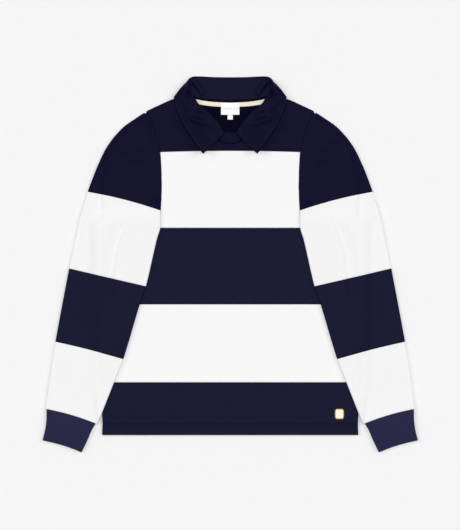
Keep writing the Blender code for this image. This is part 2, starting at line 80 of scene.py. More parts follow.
FRONT_NECK = [(0.0, 228.6), (7.0, 228.9), (14.0, 230.6), (20.7, 233.9), (38.0, 247.0), (57.0, 268.0),
              (71.0, 286.0), (80.5, 302.0), (84.0, 317.0)]
BACK_NECK = [(0.0, 309.0), (30.0, 310.3), (54.0, 313.2), (66.9, 316.0), (84.0, 317.0)]
SLEEVE_OUTER = [(158.1, 290.5), (177.3, 277.8), (200.3, 261.8), (214.1, 248.0), (223.3, 237.5),
                (237.1, 216.8), (250.8, 188.1), (260.1, 165.1), (270.2, 137.4), (285.4, 89.1), (298.1, 27.4),
                (305.7, -8.4), (331.6, -146.9), (340.5, -201.6), (350.4, -274.3)]
SLEEVE_INNER = [(131.7, 101.7), (132.4, 69.2), (139.1, 46.4), (159.6, -42.2), (171.2, -76.2),
                (202.4, -179.7), (220.4, -225.0), (251.3, -303.6)]
CUFF_OUTER = [(348.4, -274.8), (348.8, -297.5), (351.5, -316.0), (355.9, -334.0)]
CUFF_INNER = [(255.2, -302.2), (263.2, -316.2), (271.1, -334.8), (281.8, -356.8)]
CAP_END = (8, 0)
UPPER_END = (11, 3)
MIDDLE_END = (12, 5)
LOWER_END = (14, 7)
CAP_BOW = 2.8
MIDDLE_BOW = 1.4
CUFF_BOW = 2.9
CUFF_END_BOW = 2.0
FALL_EDGE = [(0.0, 299.0), (32.0, 299.2), (62.0, 300.0), (84.0, 302.0), (107.0, 312.0)]
NECK_LIFT = CLOTH + SEAM
NECK_RAMP = 30.0
COLLAR = [
    ((23.0, 237.8, 4.2), (12.2, 246.2, 9.4), (31.4, 226.6, 10.4), (51.1, 207.9, 9.8), 0, -46),
    ((38.6, 249.4, 4.2), (20.8, 262.4, 9.4), (43.5, 242.2, 10.6), (64.5, 224.4, 9.6), 0, -42),
    ((56.8, 270.2, 4.4), (34.4, 279.2, 9.4), (57.0, 261.0, 10.4), (79.0, 245.4, 9.2), 0, -40),
    ((69.0, 287.4, 4.6), (48.8, 292.2, 9.8), (69.8, 277.2, 10.6), (89.4, 262.4, 9.0), 0, -38),
    ((76.6, 301.4, 5.4), (61.0, 301.2, 11.0), (80.0, 290.0, 11.2), (96.6, 278.8, 8.4), 4, -34),
    ((79.2, 309.8, 6.0), (69.4, 313.6, 12.4), (88.0, 303.6, 12.2), (103.2, 293.6, 9.6), 15, -30),
    ((78.8, 314.2, 6.4), (76.8, 321.6, 13.8), (93.6, 313.8, 13.0), (105.8, 305.6, 10.2), 35, -20),
    ((77.0, 317.0, 6.0), (79.4, 328.2, 14.0), (95.6, 321.4, 11.8), (106.6, 313.8, 9.4), 60, -4),
    ((74.5, 318.0, 5.0), (79.6, 335.2, 12.4), (95.8, 328.6, 8.4), (105.8, 316.8, 4.6), 86, 15),
    ((71.5, 317.8, 4.3), (79.0, 342.4, 9.8), (93.0, 333.6, 4.8), (104.4, 313.4, 1.0), 115, 38),
    ((68.0, 317.0, 3.8), (76.6, 348.6, 6.6), (87.0, 337.4, 2.2), (98.0, 306.6, 1.0), 145, 58),
    ((62.0, 315.8, 3.5), (70.8, 353.0, 3.6), (75.0, 330.0, 1.0), (84.0, 302.4, 1.0), 174, 78),
    ((53.0, 313.9, 3.3), (58.0, 353.7, 2.3), (60.0, 328.0, 1.0), (62.0, 300.2, 1.0), 180, 88),
    ((30.0, 310.9, 3.3), (31.0, 352.4, 2.3), (32.0, 326.0, 1.0), (32.0, 299.4, 1.0), 180, 90),
    ((0.0, 309.6, 3.3), (0.0, 352.0, 2.3), (0.0, 326.0, 1.0), (0.0, 299.2, 1.0), 180, 90),
]
ROLL_RADIUS = 1.4
BAND_ROW = 3
BAND_TOP_Y = 250.0
BAND_TOP_X = 12.5
BAND_HEIGHT = 22.0
TAPE_WIDTH = 8.6
TAPE_DROP = 3.0
TAPE_END_X = 70.0
TAPE_EDGE_Y = 292.0
LABEL = (17.5, 283.0, 305.7)
TAB = (5.0, 274.0, 282.7)
PATCH_CENTRE = (206.9, -283.9)
PATCH_SIZE = (16.5, 19.0)
RIBS = 19

# What the sewn cloth adds to the solids
JOIN = 0.06
PLY = 1.7
SLEEVE_PLY = 1.5
WOVEN_PLY = 0.8
STEP = 4.0
EDGE_STEPS = [0.0, 1.7, 2.6, 3.6, 4.8, 6.2, 7.6, 9.2, 11.5]
SEAM_DIP = 0.5
ALLOWANCE_RISE = 0.22
ALLOWANCE_WIDTH = 6.5
YOKE_STITCHES = (4.6, 9.0)
HEM_STITCHES = (-302.6, -308.4)
COLLAR_STITCH = 5.5
BAND_STITCH = 6.0
SLEEVE_FULLNESS = 2.6
RIB_RISE = 0.75
STITCH_PITCH = 3.2
THREAD = 0.26
UP = np.array([0.0, 0.0, 1.0])


# Lines and surfaces

def distances(points):
    """Distance of each point along the line through all of them."""
    return np.concatenate([[0.0], np.cumsum(np.linalg.norm(np.diff(points, axis=0), axis=1))])


def read_at(at, values, distance):
    """The value at a distance along a line, where at holds the distance of each of its values."""
    return np.stack([np.interp(distance, at, values[:, i]) for i in range(3)], axis=-1)


class Route:
    """A smooth line through points, read by the fraction of its length."""

    def __init__(self, points):
        self.points = np.array(points, float)
        self.at = distances(self.points)
        self.length = self.at[-1]
        rows = np.arange(len(self.points))
        low, high = np.maximum(rows - 1, 0), np.minimum(rows + 1, len(rows) - 1)
        self.slope = (self.points[high] - self.points[low]) / (self.at[high] - self.at[low])[:, None]

    def fraction(self, row):
        return self.at[row] / self.length

    def __call__(self, fraction):
        s = np.clip(np.asarray(fraction, float), 0.0, 1.0) * self.length
        k = np.clip(np.searchsorted(self.at, s, side="right") - 1, 0, len(self.at) - 2)
        span = (self.at[k + 1] - self.at[k])[..., None]
        t = (s - self.at[k])[..., None] / span
        return (self.points[k] * (2 * t**3 - 3 * t**2 + 1) + self.slope[k] * span * (t**3 - 2 * t**2 + t)
                + self.points[k + 1] * (3 * t**2 - 2 * t**3) + self.slope[k + 1] * span * (t**3 - t**2))


def part_of(route, start, end):
    return lambda t: route(start + (end - start) * np.asarray(t, float))


def line(a, b, bow=0.0):
    """A straight line from a to b, bowed sideways by bow at its middle."""
    a, b = np.array(a, float), np.array(b, float)
    side = np.array([a[1] - b[1], b[0] - a[0]])
    side /= np.linalg.norm(side)

    def point(t):
        t = np.asarray(t, float)[..., None]
        return a + (b - a) * t + side * bow * 4 * t * (1 - t)
    return point


def patch(left, right, first, last):
    """A surface between four lines, for arrays of u (left to right) and v (first to last)."""
    ends = first(0.0), first(1.0), last(0.0), last(1.0)

    def point(u, v):
        a, b = u[..., None], v[..., None]
        across = first(u) * (1 - b) + last(u) * b
        along = left(v) * (1 - a) + right(v) * a
        corners = (ends[0] * (1 - a) + ends[1] * a) * (1 - b) + (ends[2] * (1 - a) + ends[3] * a) * b
        return across + along - corners
    return point


def ease(t):
    t = np.clip(t, 0.0, 1.0)
    return t * t * (3 - 2 * t)


def across_at(table, y):
    return np.interp(y, [row[0] for row in table], [row[1] for row in table])


def edge_y(outline, x):
    return np.interp(np.abs(x), [p[0] for p in outline], [p[1] for p in outline])


def near_path(x, y, path):
    """Distance to a line of straight stretches, how far along it (0 to 1), and whether on its left."""
    lengths = [math.dist(a, b) for a, b in zip(path, path[1:])]
    nearest, along, done = np.full(np.shape(x), np.inf), np.zeros(np.shape(x)), 0.0
    left = np.zeros(np.shape(x), bool)
    for (ax, ay), (bx, by), length in zip(path, path[1:], lengths):
        t = np.clip(((x - ax) * (bx - ax) + (y - ay) * (by - ay)) / length**2, 0.0, 1.0)
        away = np.hypot(x - ax - (bx - ax) * t, y - ay - (by - ay) * t)
        along = np.where(away < nearest, (done + t * length) / sum(lengths), along)
        left = np.where(away < nearest, (bx - ax) * (y - ay) > (by - ay) * (x - ax), left)
        nearest = np.minimum(nearest, away)
        done += length
    return nearest, along, left


def crease(x, y, path, height, width, fade=0.3):
    """A soft ridge, or a trough with even slopes where height is negative, that fades out towards its ends.

    A trough's width may be a pair, for the slopes on the left and right of its path.
    """
    away, along, left = near_path(x, y, path)
    if height > 0:
        profile = np.exp(-(away / width)**2)
    else:
        width = np.where(left, *width) if isinstance(width, tuple) else width
        slope = 1 - np.sqrt((away / width)**2 + 0.02)
        profile = (slope + np.sqrt(slope**2 + 0.012)) / 2
        profile = profile * ease((2 * width - away) / width)
    return height * profile * ease(along / fade) * ease((1 - along) / fade)


def stops(length, step=STEP, first=True, last=True, extra=()):
    """Distances along a length, close together near its ends and at the extra ones."""
    near = [d for d in EDGE_STEPS if d < length / 2]
    low = near if first else [0.0]
    high = [length - d for d in near] if last else [length]
    start, end = low[-1], min(high)
    count = max(1, round((end - start) / step))
    found = low + [start + (end - start) * k / count for k in range(1, count)] + high
    found += [e + d for e in extra for d in (-1.0, -0.45, 0.0, 0.45, 1.0)]
    kept = []
    for d in sorted(found):
        if 0.0 <= d <= length and (not kept or d - kept[-1] > 0.28):
            kept.append(d)
    kept[-1] = length
    return np.array(kept)


# Heights of the solids

HIDDEN_ARMHOLE = [(x, y) for y, x in FRONT_ARMHOLE if y <= FOLD_START_Y]
FRONT_EDGE = [(x, y) for y, x in SIDE_EDGE[:-1]] + HIDDEN_ARMHOLE


def beyond_front(x, y):
    """How far a point lies outside the part of the front that carries the sleeve."""
    inside = (y < edge_y(HIDDEN_ARMHOLE[::-1], x)) & (x < across_at(SIDE_EDGE, y))
    return np.where(inside, 0.0, near_path(x, y, FRONT_EDGE)[0])


def neck_lift(x, y):
    """How far the collar's fall, lying under the back, lifts the yokes."""
    x = np.abs(x)
    out_y = np.maximum(0.0, edge_y(FALL_EDGE, x) - y)
    out_x = np.maximum(0.0, x - FALL_EDGE[-1][0])
    return NECK_LIFT * (1 - ease(np.hypot(out_x, out_y) / NECK_RAMP))


def back_top(x, y):
    return CLOTH + neck_lift(x, y)


def front_top(x, y):
    """Upper face of the front, which comes down to the back at its free edges."""
    x = np.abs(x)
    loft = np.where(y < FOLD_START_Y, ease((across_at(SIDE_EDGE, y) - x) / LOFT_RAMP), 1.0)
    loft = np.where(y > YOKE_Y, ease((edge_y(SHOULDER, x) - y) / LOFT_RAMP), loft)
    hem = HEM_RISE * ease((HEM_STITCH_Y + HEM_STEP / 2 - y) / HEM_STEP)
    return BODY_TOP + LOFT * loft + hem + neck_lift(x, y)


def sleeve_floor(x, y):
    """Underside of the sleeve: on the surface, and on the front where it lies over it."""
    return SLEEVE_STEP * (1 - ease((beyond_front(x, y) - 0.5) / FLOOR_RAMP))


def sleeve_top(x, y):
    """Upper face of the sleeve, which falls away from the front more softly than its underside."""
    low, high = CUFF_RAMP_LEVELS
    ramp = TOP_RAMP * (CUFF_RAMP_SHARE + (1 - CUFF_RAMP_SHARE) * ease((y - low) / (high - low)))
    return SLEEVE_THICK + SLEEVE_STEP * (1 - ease((beyond_front(x, y) - 4.0) / ramp))


# Soft forms of the cloth

def swell(x, y):
    """A slow unevenness between -1 and 1."""
    return (np.sin(x / 31 + 1.3 + 0.6 * np.sin(y / 47)) * np.sin(y / 43 + 0.4)
            + 0.6 * np.sin(x / 17 - y / 23) + 0.5 * np.sin(x / 71 + y / 59)) / 2.1


def seam_form(d):
    """Rise of the cloth near a seam: down into the seam, and up over the allowance beside it."""
    allowance = ease(d / 2.5) * (1 - ease((d - ALLOWANCE_WIDTH) / 2.0))
    return ALLOWANCE_RISE * allowance - SEAM_DIP * (1 - ease(d / 2.4))


def stitch_form(d, depth=0.3):
    """The furrow that a row of stitches pulls into the cloth."""
    return -depth * np.exp(-(d / 0.75)**2)


SLEEVE_CREASES = [
    ([(244.0, 156.0), (246.0, 128.0), (244.0, 96.0), (242.0, 70.0)], -3.4, (14.0, 5.0)),
    ([(268.0, 96.0), (270.0, 56.0), (262.0, 0.0)], -0.8, 6.0),
    ([(178.0, 116.0), (194.0, 88.0), (208.0, 56.0), (218.0, 26.0), (224.0, -20.0), (230.0, -90.0)],
     -4.3, (24.0, 7.0)),
    ([(212.0, 112.0), (232.0, 74.0), (244.0, 36.0), (250.0, -20.0), (256.0, -90.0)], 1.2, 13.0),
    ([(236.0, -50.0), (248.0, -84.0), (264.0, -118.0)], -1.6, 11.0),
    ([(284.0, -40.0), (290.0, -80.0), (300.0, -128.0)], -1.1, 10.0),
    ([(250.0, -140.0), (248.0, -180.0), (247.0, -226.0), (248.0, -262.0)], -2.6, (14.0, 5.0)),
    ([(276.0, -170.0), (276.0, -210.0), (284.0, -250.0)], 0.6, 10.0),
    ([(306.0, -180.0), (312.0, -220.0), (318.0, -262.0)], -0.8, 9.0),
    ([(148.0, 196.0), (177.0, 206.0), (207.0, 226.0), (222.0, 236.0)], -2.6, 14.0),
    ([(234.0, 218.0), (242.0, 178.0), (250.0, 148.0)], -2.2, 9.0),
    ([(196.0, 248.0), (222.0, 220.0), (232.0, 190.0)], 1.3, 8.0),
    ([(150.0, 176.0), (186.0, 182.0), (222.0, 196.0)], 1.0, 9.0),
    ([(160.0, 150.0), (190.0, 152.0), (226.0, 140.0)], -1.2, 8.0),
]


def sleeve_form(x, y, share):
    """Fullness, unevenness and main creases on a sleeve's upper face. share runs 0 to 1 across it."""
    full = np.clip(4 * share * (1 - share), 0.0, 1.0)
    form = SLEEVE_FULLNESS * full + 0.35 * swell(x, y) * full
    for path, height, width in SLEEVE_CREASES:
        form = form + crease(x, y, path, height, width)
    return form


def under_form(x, y, share):
    """Shallow hollows on the face that the sleeve lies on."""
    full = np.clip(4 * share * (1 - share), 0.0, 1.0)
    hollows = crease(x, y, [(214.0, 60.0), (244.0, 0.0), (262.0, -90.0)], 0.8, 12.0)
    hollows = hollows + crease(x, y, [(280.0, -120.0), (296.0, -190.0), (306.0, -260.0)], 0.8, 10.0)
    return full * (0.22 * (1 + swell(x, y + 90)) + hollows)


def front_form(x, y):
    """Unevenness of the front, only downwards, so that it stays clear of the sleeves on it."""
    near_side = ease((across_at(SIDE_EDGE, y) - np.abs(x)) / 30.0)
    form = -0.2 * (1 + swell(x, y)) * near_side
    x = np.abs(x)
    form = form + crease(x, y, [(96.0, 196.0), (112.0, 140.0), (118.0, 96.0)], -0.5, 13.0)
    return form + crease(x, y, [(52.0, 200.0), (74.0, 232.0), (92.0, 260.0), (106.0, 290.0)], -0.9, 5.0)


# Meshes

pieces = {}


def unit(a):
    return a / np.maximum(np.linalg.norm(a, axis=-1, keepdims=True), 1e-9)


def close_ring(a):
    return np.concatenate([a, a[:, :1]], axis=1)


def both_sides(half):
    """A grid from its left half, whose first column is the centre line."""
    other = half[:, :0:-1]
    return np.concatenate([other * [-1.0, 1.0] if half.ndim == 3 else other, half], axis=1)


def grid_normals(grid, ring):
    if ring:
        across = np.roll(grid, -1, axis=1) - np.roll(grid, 1, axis=1)
    else:
        across = np.gradient(grid, axis=1)
    return unit(np.cross(across, np.gradient(grid, axis=0)))


def grid_uv(grid, ring, turn=False):
    """Map in metres: along the columns and rows of a grid, measured on its middle ones."""
    closed = close_ring(grid) if ring else grid
    steps = np.linalg.norm(np.diff(closed, axis=1), axis=2)
    u = np.concatenate([np.zeros((len(grid), 1)), np.cumsum(steps, axis=1)], axis=1)
    if not ring:
        u = u - u[:, u.shape[1] // 2][:, None]
    middle = closed[:, closed.shape[1] // (4 if ring else 2)]
    uv = np.stack([u, np.broadcast_to(distances(middle)[:, None], u.shape)], axis=-1) * MM
    return uv[..., ::-1] if turn else uv


def quads(index, uv):
    faces = np.stack([index[:-1, :-1], index[:-1, 1:], index[1:, 1:], index[1:, :-1]], axis=-1).reshape(-1, 4)
    corners = np.stack([uv[:-1, :-1], uv[:-1, 1:], uv[1:, 1:], uv[1:, :-1]], axis=-2).reshape(-1, 4, 2)
    return faces, corners


def to_mesh(name, verts, faces, corners, colour):
    verts = np.array(verts, float)
    verts[:, 1] -= CENTRE_Y
    mesh = bpy.data.meshes.new(name)
    mesh.from_pydata((verts * MM).tolist(), [], faces.tolist())
    if corners is not None:
        layer = mesh.uv_layers.new(name="UVMap")
        layer.data.foreach_set("uv", corners.reshape(-1).astype(np.float32))
    shape = bmesh.new()
    shape.from_mesh(mesh)
    bmesh.ops.recalc_face_normals(shape, faces=shape.faces[:])
    shape.to_mesh(mesh)
    shape.free()
    mesh.shade_smooth()
    obj = bpy.data.objects.new(name, mesh)
    bpy.context.scene.collection.objects.link(obj)
    obj.data.materials.append(colour)
    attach(obj, "root")
    pieces[name] = obj
    return obj


def shell(node, grid, colour, ply=PLY, ring=False, out=1.0, centred=False, turn=False,
          roundness=0.5, upper=None, straight=False):
    """A closed wall of cloth from a grid of points on its outer face, with round edges, for one CAD node.

    upper is a second colour for that face. straight runs the grain up the body instead of along the grid.
    """
    grid = np.array(grid, float)
    radius = ply / 2
    rim = radius * roundness
    uv = grid[..., :2] * MM if straight else grid_uv(grid, ring, turn)
    normals = grid_normals(grid, ring) * out
    if centred:
        grid = grid + normals * radius
    outward = np.zeros_like(grid)
    for end, inner in ((0, 1), (-1, -2)):
        way = unit(grid[end] - grid[inner])
        outward[end] += way
        if not ring:
            way = unit(grid[:, end] - grid[:, inner])
            outward[:, end] += way
    outer = grid - outward * rim
    inner = outer - normals * ply
    outward = unit(outward)
    rows, columns = grid.shape[:2]
    count = rows * columns
    index = np.arange(count).reshape(rows, columns)
    verts = [outer.reshape(-1, 3), inner.reshape(-1, 3)]
    wrap = close_ring if ring else (lambda k: k)
    top_faces, top_uv = quads(wrap(index), uv)
    low_faces, low_uv = quads(wrap(index + count), uv)
    faces, corners = [top_faces, low_faces[:, ::-1]], [top_uv, low_uv[:, ::-1]]
    if ring:
        loops = [(index[0], uv[0]), (index[-1], uv[-1])]
    else:
        around = np.concatenate([index[0, :-1], index[:-1, -1], index[-1, :0:-1], index[:0:-1, 0]])
        loops = [(around, uv.reshape(-1, 2)[np.append(around, around[0])])]
    made = 2 * count
    for loop, loop_uv in loops:
        top = outer.reshape(-1, 3)[loop]
        normal = normals.reshape(-1, 3)[loop]
        away = outward.reshape(-1, 3)[loop]
        rings = [loop]
        for angle in (45, 90, 135):
            s, c = math.sin(math.radians(angle)), math.cos(math.radians(angle))
            verts.append(top + away * rim * s - normal * radius * (1 - c))
            rings.append(np.arange(made, made + len(loop)))
            made += len(loop)
        rings.append(loop + count)
        band = np.array([np.append(r, r[0]) for r in rings])
        rim_faces, rim_uv = quads(band, np.broadcast_to(loop_uv, (5,) + loop_uv.shape))
        faces.append(rim_faces)
        corners.append(rim_uv)
    verts, faces, corners = (np.concatenate(each) for each in (verts, faces, corners))
    obj = to_mesh(node + "_cloth", verts, faces, corners, colour)
    if upper:
        obj.data.materials.append(upper)
        indices = np.zeros(len(obj.data.polygons), dtype=np.int32)
        indices[:len(top_faces)] = 1
        obj.data.polygons.foreach_set("material_index", indices)
    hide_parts(node)
    return obj, outer, normals


def stitches(name, runs, colour, pitch=STITCH_PITCH, radius=THREAD, gap=0.7):
    """Rows of sewn thread: each run is points on the cloth and the cloth's normals there."""
    verts, faces = [], []
    profile = [(-0.5, 0.25, -0.9), (-0.38, 0.9, 0.1), (-0.15, 1.0, 0.65), (0.15, 1.0, 0.65), (0.38, 0.9, 0.1),
               (0.5, 0.25, -0.9)]
    sides = 6
    for points, normals in runs:
        points, normals = np.array(points, float), np.array(normals, float)
        at = distances(points)
        count = int(at[-1] / pitch)
        for k in range(count):
            middle = (k + 0.5) * at[-1] / count
            p, n = read_at(at, points, middle), unit(read_at(at, normals, middle))
            along = unit(read_at(at, points, middle + 0.5) - read_at(at, points, middle - 0.5))
            side = unit(np.cross(n, along))
            first = len(verts)
            for place, wide, high in profile:
                centre = p + along * place * (pitch - gap) + n * radius * high
                for s in range(sides):
                    a = 2 * math.pi * s / sides
                    verts.append(centre + (side * math.cos(a) + n * math.sin(a)) * radius * wide)
            for ring_row in range(len(profile) - 1):
                for s in range(sides):
                    a, b = first + ring_row * sides + s, first + ring_row * sides + (s + 1) % sides
                    faces.append((a, b, b + sides, a + sides))
            last = first + (len(profile) - 1) * sides
            for base in (first, last):
                faces.append((base, base + 1, base + 2, base + 3))
                faces.append((base, base + 3, base + 4, base + 5))
    return to_mesh(name, np.array(verts), np.array(faces), None, colour)


def level_run(points, rise=0.0):
    """Points for a row of stitches on cloth that faces up, raised a little."""
    return points + rise * UP, np.broadcast_to(UP, points.shape)


def mirrored(points):
    return points * np.array([-1.0, 1.0, 1.0])


# Materials

class Nodes:
    """A short way to write a material's nodes."""

    def __init__(self, name):
        self.material = bpy.data.materials.new(name)
        self.material.use_nodes = True
        self.tree = self.material.node_tree
        self.shader = self.tree.nodes["Principled BSDF"]

    def put(self, socket, value):
        if isinstance(value, bpy.types.NodeSocket):
            self.tree.links.new(value, socket)
        else:
            socket.default_value = value

    def math(self, operation, a, b=0.0, clamp=False):
        node = self.tree.nodes.new("ShaderNodeMath")
        node.operation = operation
        node.use_clamp = clamp
        self.put(node.inputs[0], a)
        self.put(node.inputs[1], b)
        return node.outputs[0]

    def uv(self):
        node = self.tree.nodes.new("ShaderNodeUVMap")
        node.uv_map = "UVMap"
        split = self.tree.nodes.new("ShaderNodeSeparateXYZ")
        self.tree.links.new(node.outputs[0], split.inputs[0])
        return node.outputs[0], split.outputs[0], split.outputs[1]

    def place(self):
        return self.tree.nodes.new("ShaderNodeTexCoord").outputs["Object"]

    def noise(self, where, scale, detail=3.0, roughness=0.55):
        node = self.tree.nodes.new("ShaderNodeTexNoise")
        self.put(node.inputs["Vector"], where)
        node.inputs["Scale"].default_value = scale
        node.inputs["Detail"].default_value = detail
        node.inputs["Roughness"].default_value = roughness
        return node.outputs[0]

    def stretched(self, where, scale):
        node = self.tree.nodes.new("ShaderNodeMapping")
        self.put(node.inputs["Vector"], where)
        node.inputs["Scale"].default_value = scale
        return node.outputs[0]

    def mix(self, share, a, b):
        node = self.tree.nodes.new("ShaderNodeMix")
        node.data_type = "RGBA"
        self.put(node.inputs[0], share)
        self.put(node.inputs[6], a)
        self.put(node.inputs[7], b)
        return node.outputs[2]

    def bump(self, height, strength, distance, under=None):
        node = self.tree.nodes.new("ShaderNodeBump")
        node.inputs["Strength"].default_value = strength
        node.inputs["Distance"].default_value = distance
        self.put(node.inputs["Height"], height)
        if under is not None:
            self.put(node.inputs["Normal"], under)
        return node.outputs[0]

    def wave(self, value, period):
        """0 to 1 and back once in each period."""
        phase = self.math("MULTIPLY", value, 2 * math.pi / period)
        height = self.math("MULTIPLY_ADD", self.math("SINE", phase), 0.5)
        height.node.inputs[2].default_value = 0.5
        return height

    def saw(self, value, period):
        """0 at the middle of each period and 1 at its ends."""
        part = self.math("FRACT", self.math("DIVIDE", value, period))
        return self.math("MULTIPLY", self.math("ABSOLUTE", self.math("SUBTRACT", part, 0.5)), 2.0)

    def finish(self, colour, roughness, normal, sheen=0.0, specular=0.12):
        self.put(self.shader.inputs["Base Color"], colour)
        self.put(self.shader.inputs["Roughness"], roughness)
        self.put(self.shader.inputs["Normal"], normal)
        self.shader.inputs["Sheen Weight"].default_value = sheen
        self.shader.inputs["Sheen Roughness"].default_value = 0.45
        self.shader.inputs["Specular IOR Level"].default_value = specular
        return self.material


def shade(colour, by):
    return tuple(c * by for c in colour) + (1.0,)


def knit(name, colour, wale, course, dark, light, bump=0.18, fuzz=0.15, rough=0.55, shine=0.042):
    """Jersey knit: columns of small V stitches, with yarn unevenness and a soft brushed face."""
    n = Nodes(name)
    where, u, v = n.uv()
    border = n.saw(u, wale)
    lean = n.math("ADD", n.math("DIVIDE", v, course), n.math("MULTIPLY", border, 0.62))
    loop = n.math("ABSOLUTE", n.math("SINE", n.math("MULTIPLY", lean, math.pi)))
    furrow = n.math("SUBTRACT", 1.0, n.math("POWER", border, 5.0))
    height = n.math("MULTIPLY", n.math("POWER", loop, 0.7), furrow)
    streak = n.noise(n.stretched(where, (1.0, 0.08, 1.0)), 900.0, 2.0)
    patchy = n.noise(where, 55.0, 4.0, 0.6)
    fibre = n.noise(where, 2600.0, 3.0, 0.7)
    mottle = n.noise(where, 380.0, 1.0)
    tone = n.math("MULTIPLY", streak, 0.35)
    for part, weight in ((patchy, 0.35), (mottle, 0.8), (height, 1.1), (fibre, 0.4)):
        tone = n.math("ADD", tone, n.math("MULTIPLY", part, weight))
    tone = n.math("SUBTRACT", tone, 1.05, clamp=True)
    face = n.mix(tone, shade(colour, dark), shade(colour, light))
    relief = n.bump(height, bump, 0.00028)
    relief = n.bump(fibre, fuzz, 0.00012, relief)
    roughness = n.math("ADD", n.math("MULTIPLY", patchy, 0.1), rough - 0.05)
    return n.finish(face, roughness, relief, specular=shine)


def linear(r, g, b):
    """Linear colour from 0 to 255 display values."""
    return tuple((c / 255 / 12.92) if c <= 10 else ((c / 255 + 0.055) / 1.055)**2.4 for c in (r, g, b))


def tape_cloth(name, colour):
    """Herringbone tape: slanting yarns that turn back and forth across its width."""
    n = Nodes(name)
    where, u, v = n.uv()
    turn = n.saw(v, 0.0036)
    slant = n.math("ADD", u, n.math("MULTIPLY", turn, 0.0014))
    yarn = n.wave(slant, 0.0007)
    fibre = n.noise(where, 2200.0)
    tone = n.math("ADD", n.math("MULTIPLY", yarn, 0.6), n.math("MULTIPLY", fibre, 0.4))
    face = n.mix(tone, shade(colour, 0.86), shade(colour, 1.07))
    relief = n.bump(yarn, 0.5, 0.00018)
    return n.finish(face, 0.82, n.bump(fibre, 0.3, 0.0001, relief), sheen=0.05)


def satin_cloth(name, colour):
    """A woven label: fine smooth yarns across it, with a little gloss."""
    n = Nodes(name)
    where, u, v = n.uv()
    warp = n.wave(u, 0.00042)
    weft = n.wave(v, 0.00030)
    fibre = n.noise(where, 1500.0)
    height = n.math("ADD", n.math("MULTIPLY", weft, 0.7), n.math("MULTIPLY", warp, 0.3))
    tone = n.math("ADD", n.math("MULTIPLY", height, 0.5), n.math("MULTIPLY", fibre, 0.5))
    face = n.mix(tone, shade(colour, 0.93), shade(colour, 1.03))
    return n.finish(face, 0.48, n.bump(height, 0.3, 0.0001), sheen=0.1, specular=0.45)


def thread(name, colour, gloss=0.45, shine=0.4):
    """Sewing thread: fine twist and a soft gloss."""
    n = Nodes(name)
    twist = n.noise(n.place(), 3200.0, 2.0)
    face = n.mix(twist, shade(colour, 0.75), shade(colour, 1.25))
    return n.finish(face, gloss, n.bump(twist, 0.4, 0.0001), specular=shine)


def floor_finish(name, colour):
    n = Nodes(name)
    grain = n.noise(n.place(), 40.0)
    face = n.mix(grain, shade(colour, 0.997), shade(colour, 1.003))
    return n.finish(face, 0.9, n.bump(grain, 0.02, 0.0002), specular=0.0)


# Linear colours, fitted so that the render under the lights below has the photograph's levels
NAVY = (0.006, 0.0062, 0.0239)
YOKE = (0.0034, 0.0025, 0.018)
COLLAR_NAVY = (0.0027, 0.002, 0.0159)
# A lighter copy of COLLAR_NAVY for the collar's stand and the inner half of its roll: painted light.
STAND_NAVY_PAINTED_LIGHT = (0.0052, 0.0042, 0.0208)
RIB = (0.0169, 0.0169, 0.0521)
# Colour of the back yoke's upper face, the cloth's inner side seen through the neck opening. Its coarser knit
# is real, but its darkness is painted shade in the neck.
INSIDE_PAINTED_SHADE = (0.0016, 0.0013, 0.0092)
WHITE = (0.805, 0.805, 0.805)
# A slightly darker copy of WHITE for the white sleeve bands: painted shade on the sleeves.
WHITE_SLEEVE_PAINTED_SHADE = (0.784, 0.784, 0.784)
# Width and height of a stitch in metres, and how far a cloth's tone goes below and above its colour
FLEECE = (0.00105, 0.00080)
NAVY_TONES = (0.62, 1.34)
WHITE_TONES = (0.965, 1.02)
COLLAR_KNIT = (0.00085, 0.00070, 0.64, 1.32)
navy = knit("navy_fleece", NAVY, *FLEECE, *NAVY_TONES)
navy_yoke = knit("navy_fleece_top", YOKE, *FLEECE, *NAVY_TONES)
inside = knit("navy_fleece_inside_painted_shade", INSIDE_PAINTED_SHADE, 0.00140, 0.00110, *NAVY_TONES, fuzz=0.5, rough=0.85, shine=0.04)
white = knit("white_fleece", WHITE, *FLEECE, *WHITE_TONES, rough=0.85, shine=0.06)
white_sleeve_painted_shade = knit("white_fleece_sleeve_painted_shade", WHITE_SLEEVE_PAINTED_SHADE, *FLEECE, *WHITE_TONES, rough=0.85, shine=0.06)
rib = knit("navy_rib", RIB, 0.00120, 0.00090, 0.60, 1.36)
collar_cloth = knit("navy_collar", COLLAR_NAVY, *COLLAR_KNIT)
stand_cloth_painted_light = knit("navy_collar_stand_painted_light", STAND_NAVY_PAINTED_LIGHT, *COLLAR_KNIT)
cream = tape_cloth("cream_tape", linear(232, 226, 206))
label_cloth = satin_cloth("label", linear(240, 236, 234))
patch_cloth = satin_cloth("patch", linear(236, 230, 208))
navy_thread = thread("navy_thread", linear(31, 31, 54), 0.6, 0.1)
white_thread = thread("white_thread", linear(236, 234, 228))
cream_thread = thread("cream_thread", linear(226, 218, 196))
gold_thread = thread("gold_thread", linear(196, 150, 48), 0.38)


# Floor

FLOOR_Z = -0.0003
floor_mesh = bpy.data.meshes.new("floor")
floor_mesh.from_pydata([(x, y, FLOOR_Z) for x, y in ((-6, -6), (6, -6), (6, 6), (-6, 6))], [], [(0, 1, 2, 3)])
floor = bpy.data.objects.new("floor", floor_mesh)
bpy.context.scene.collection.objects.link(floor)
floor.data.materials.append(floor_finish("floor", (0.785, 0.785, 0.785)))


# Body

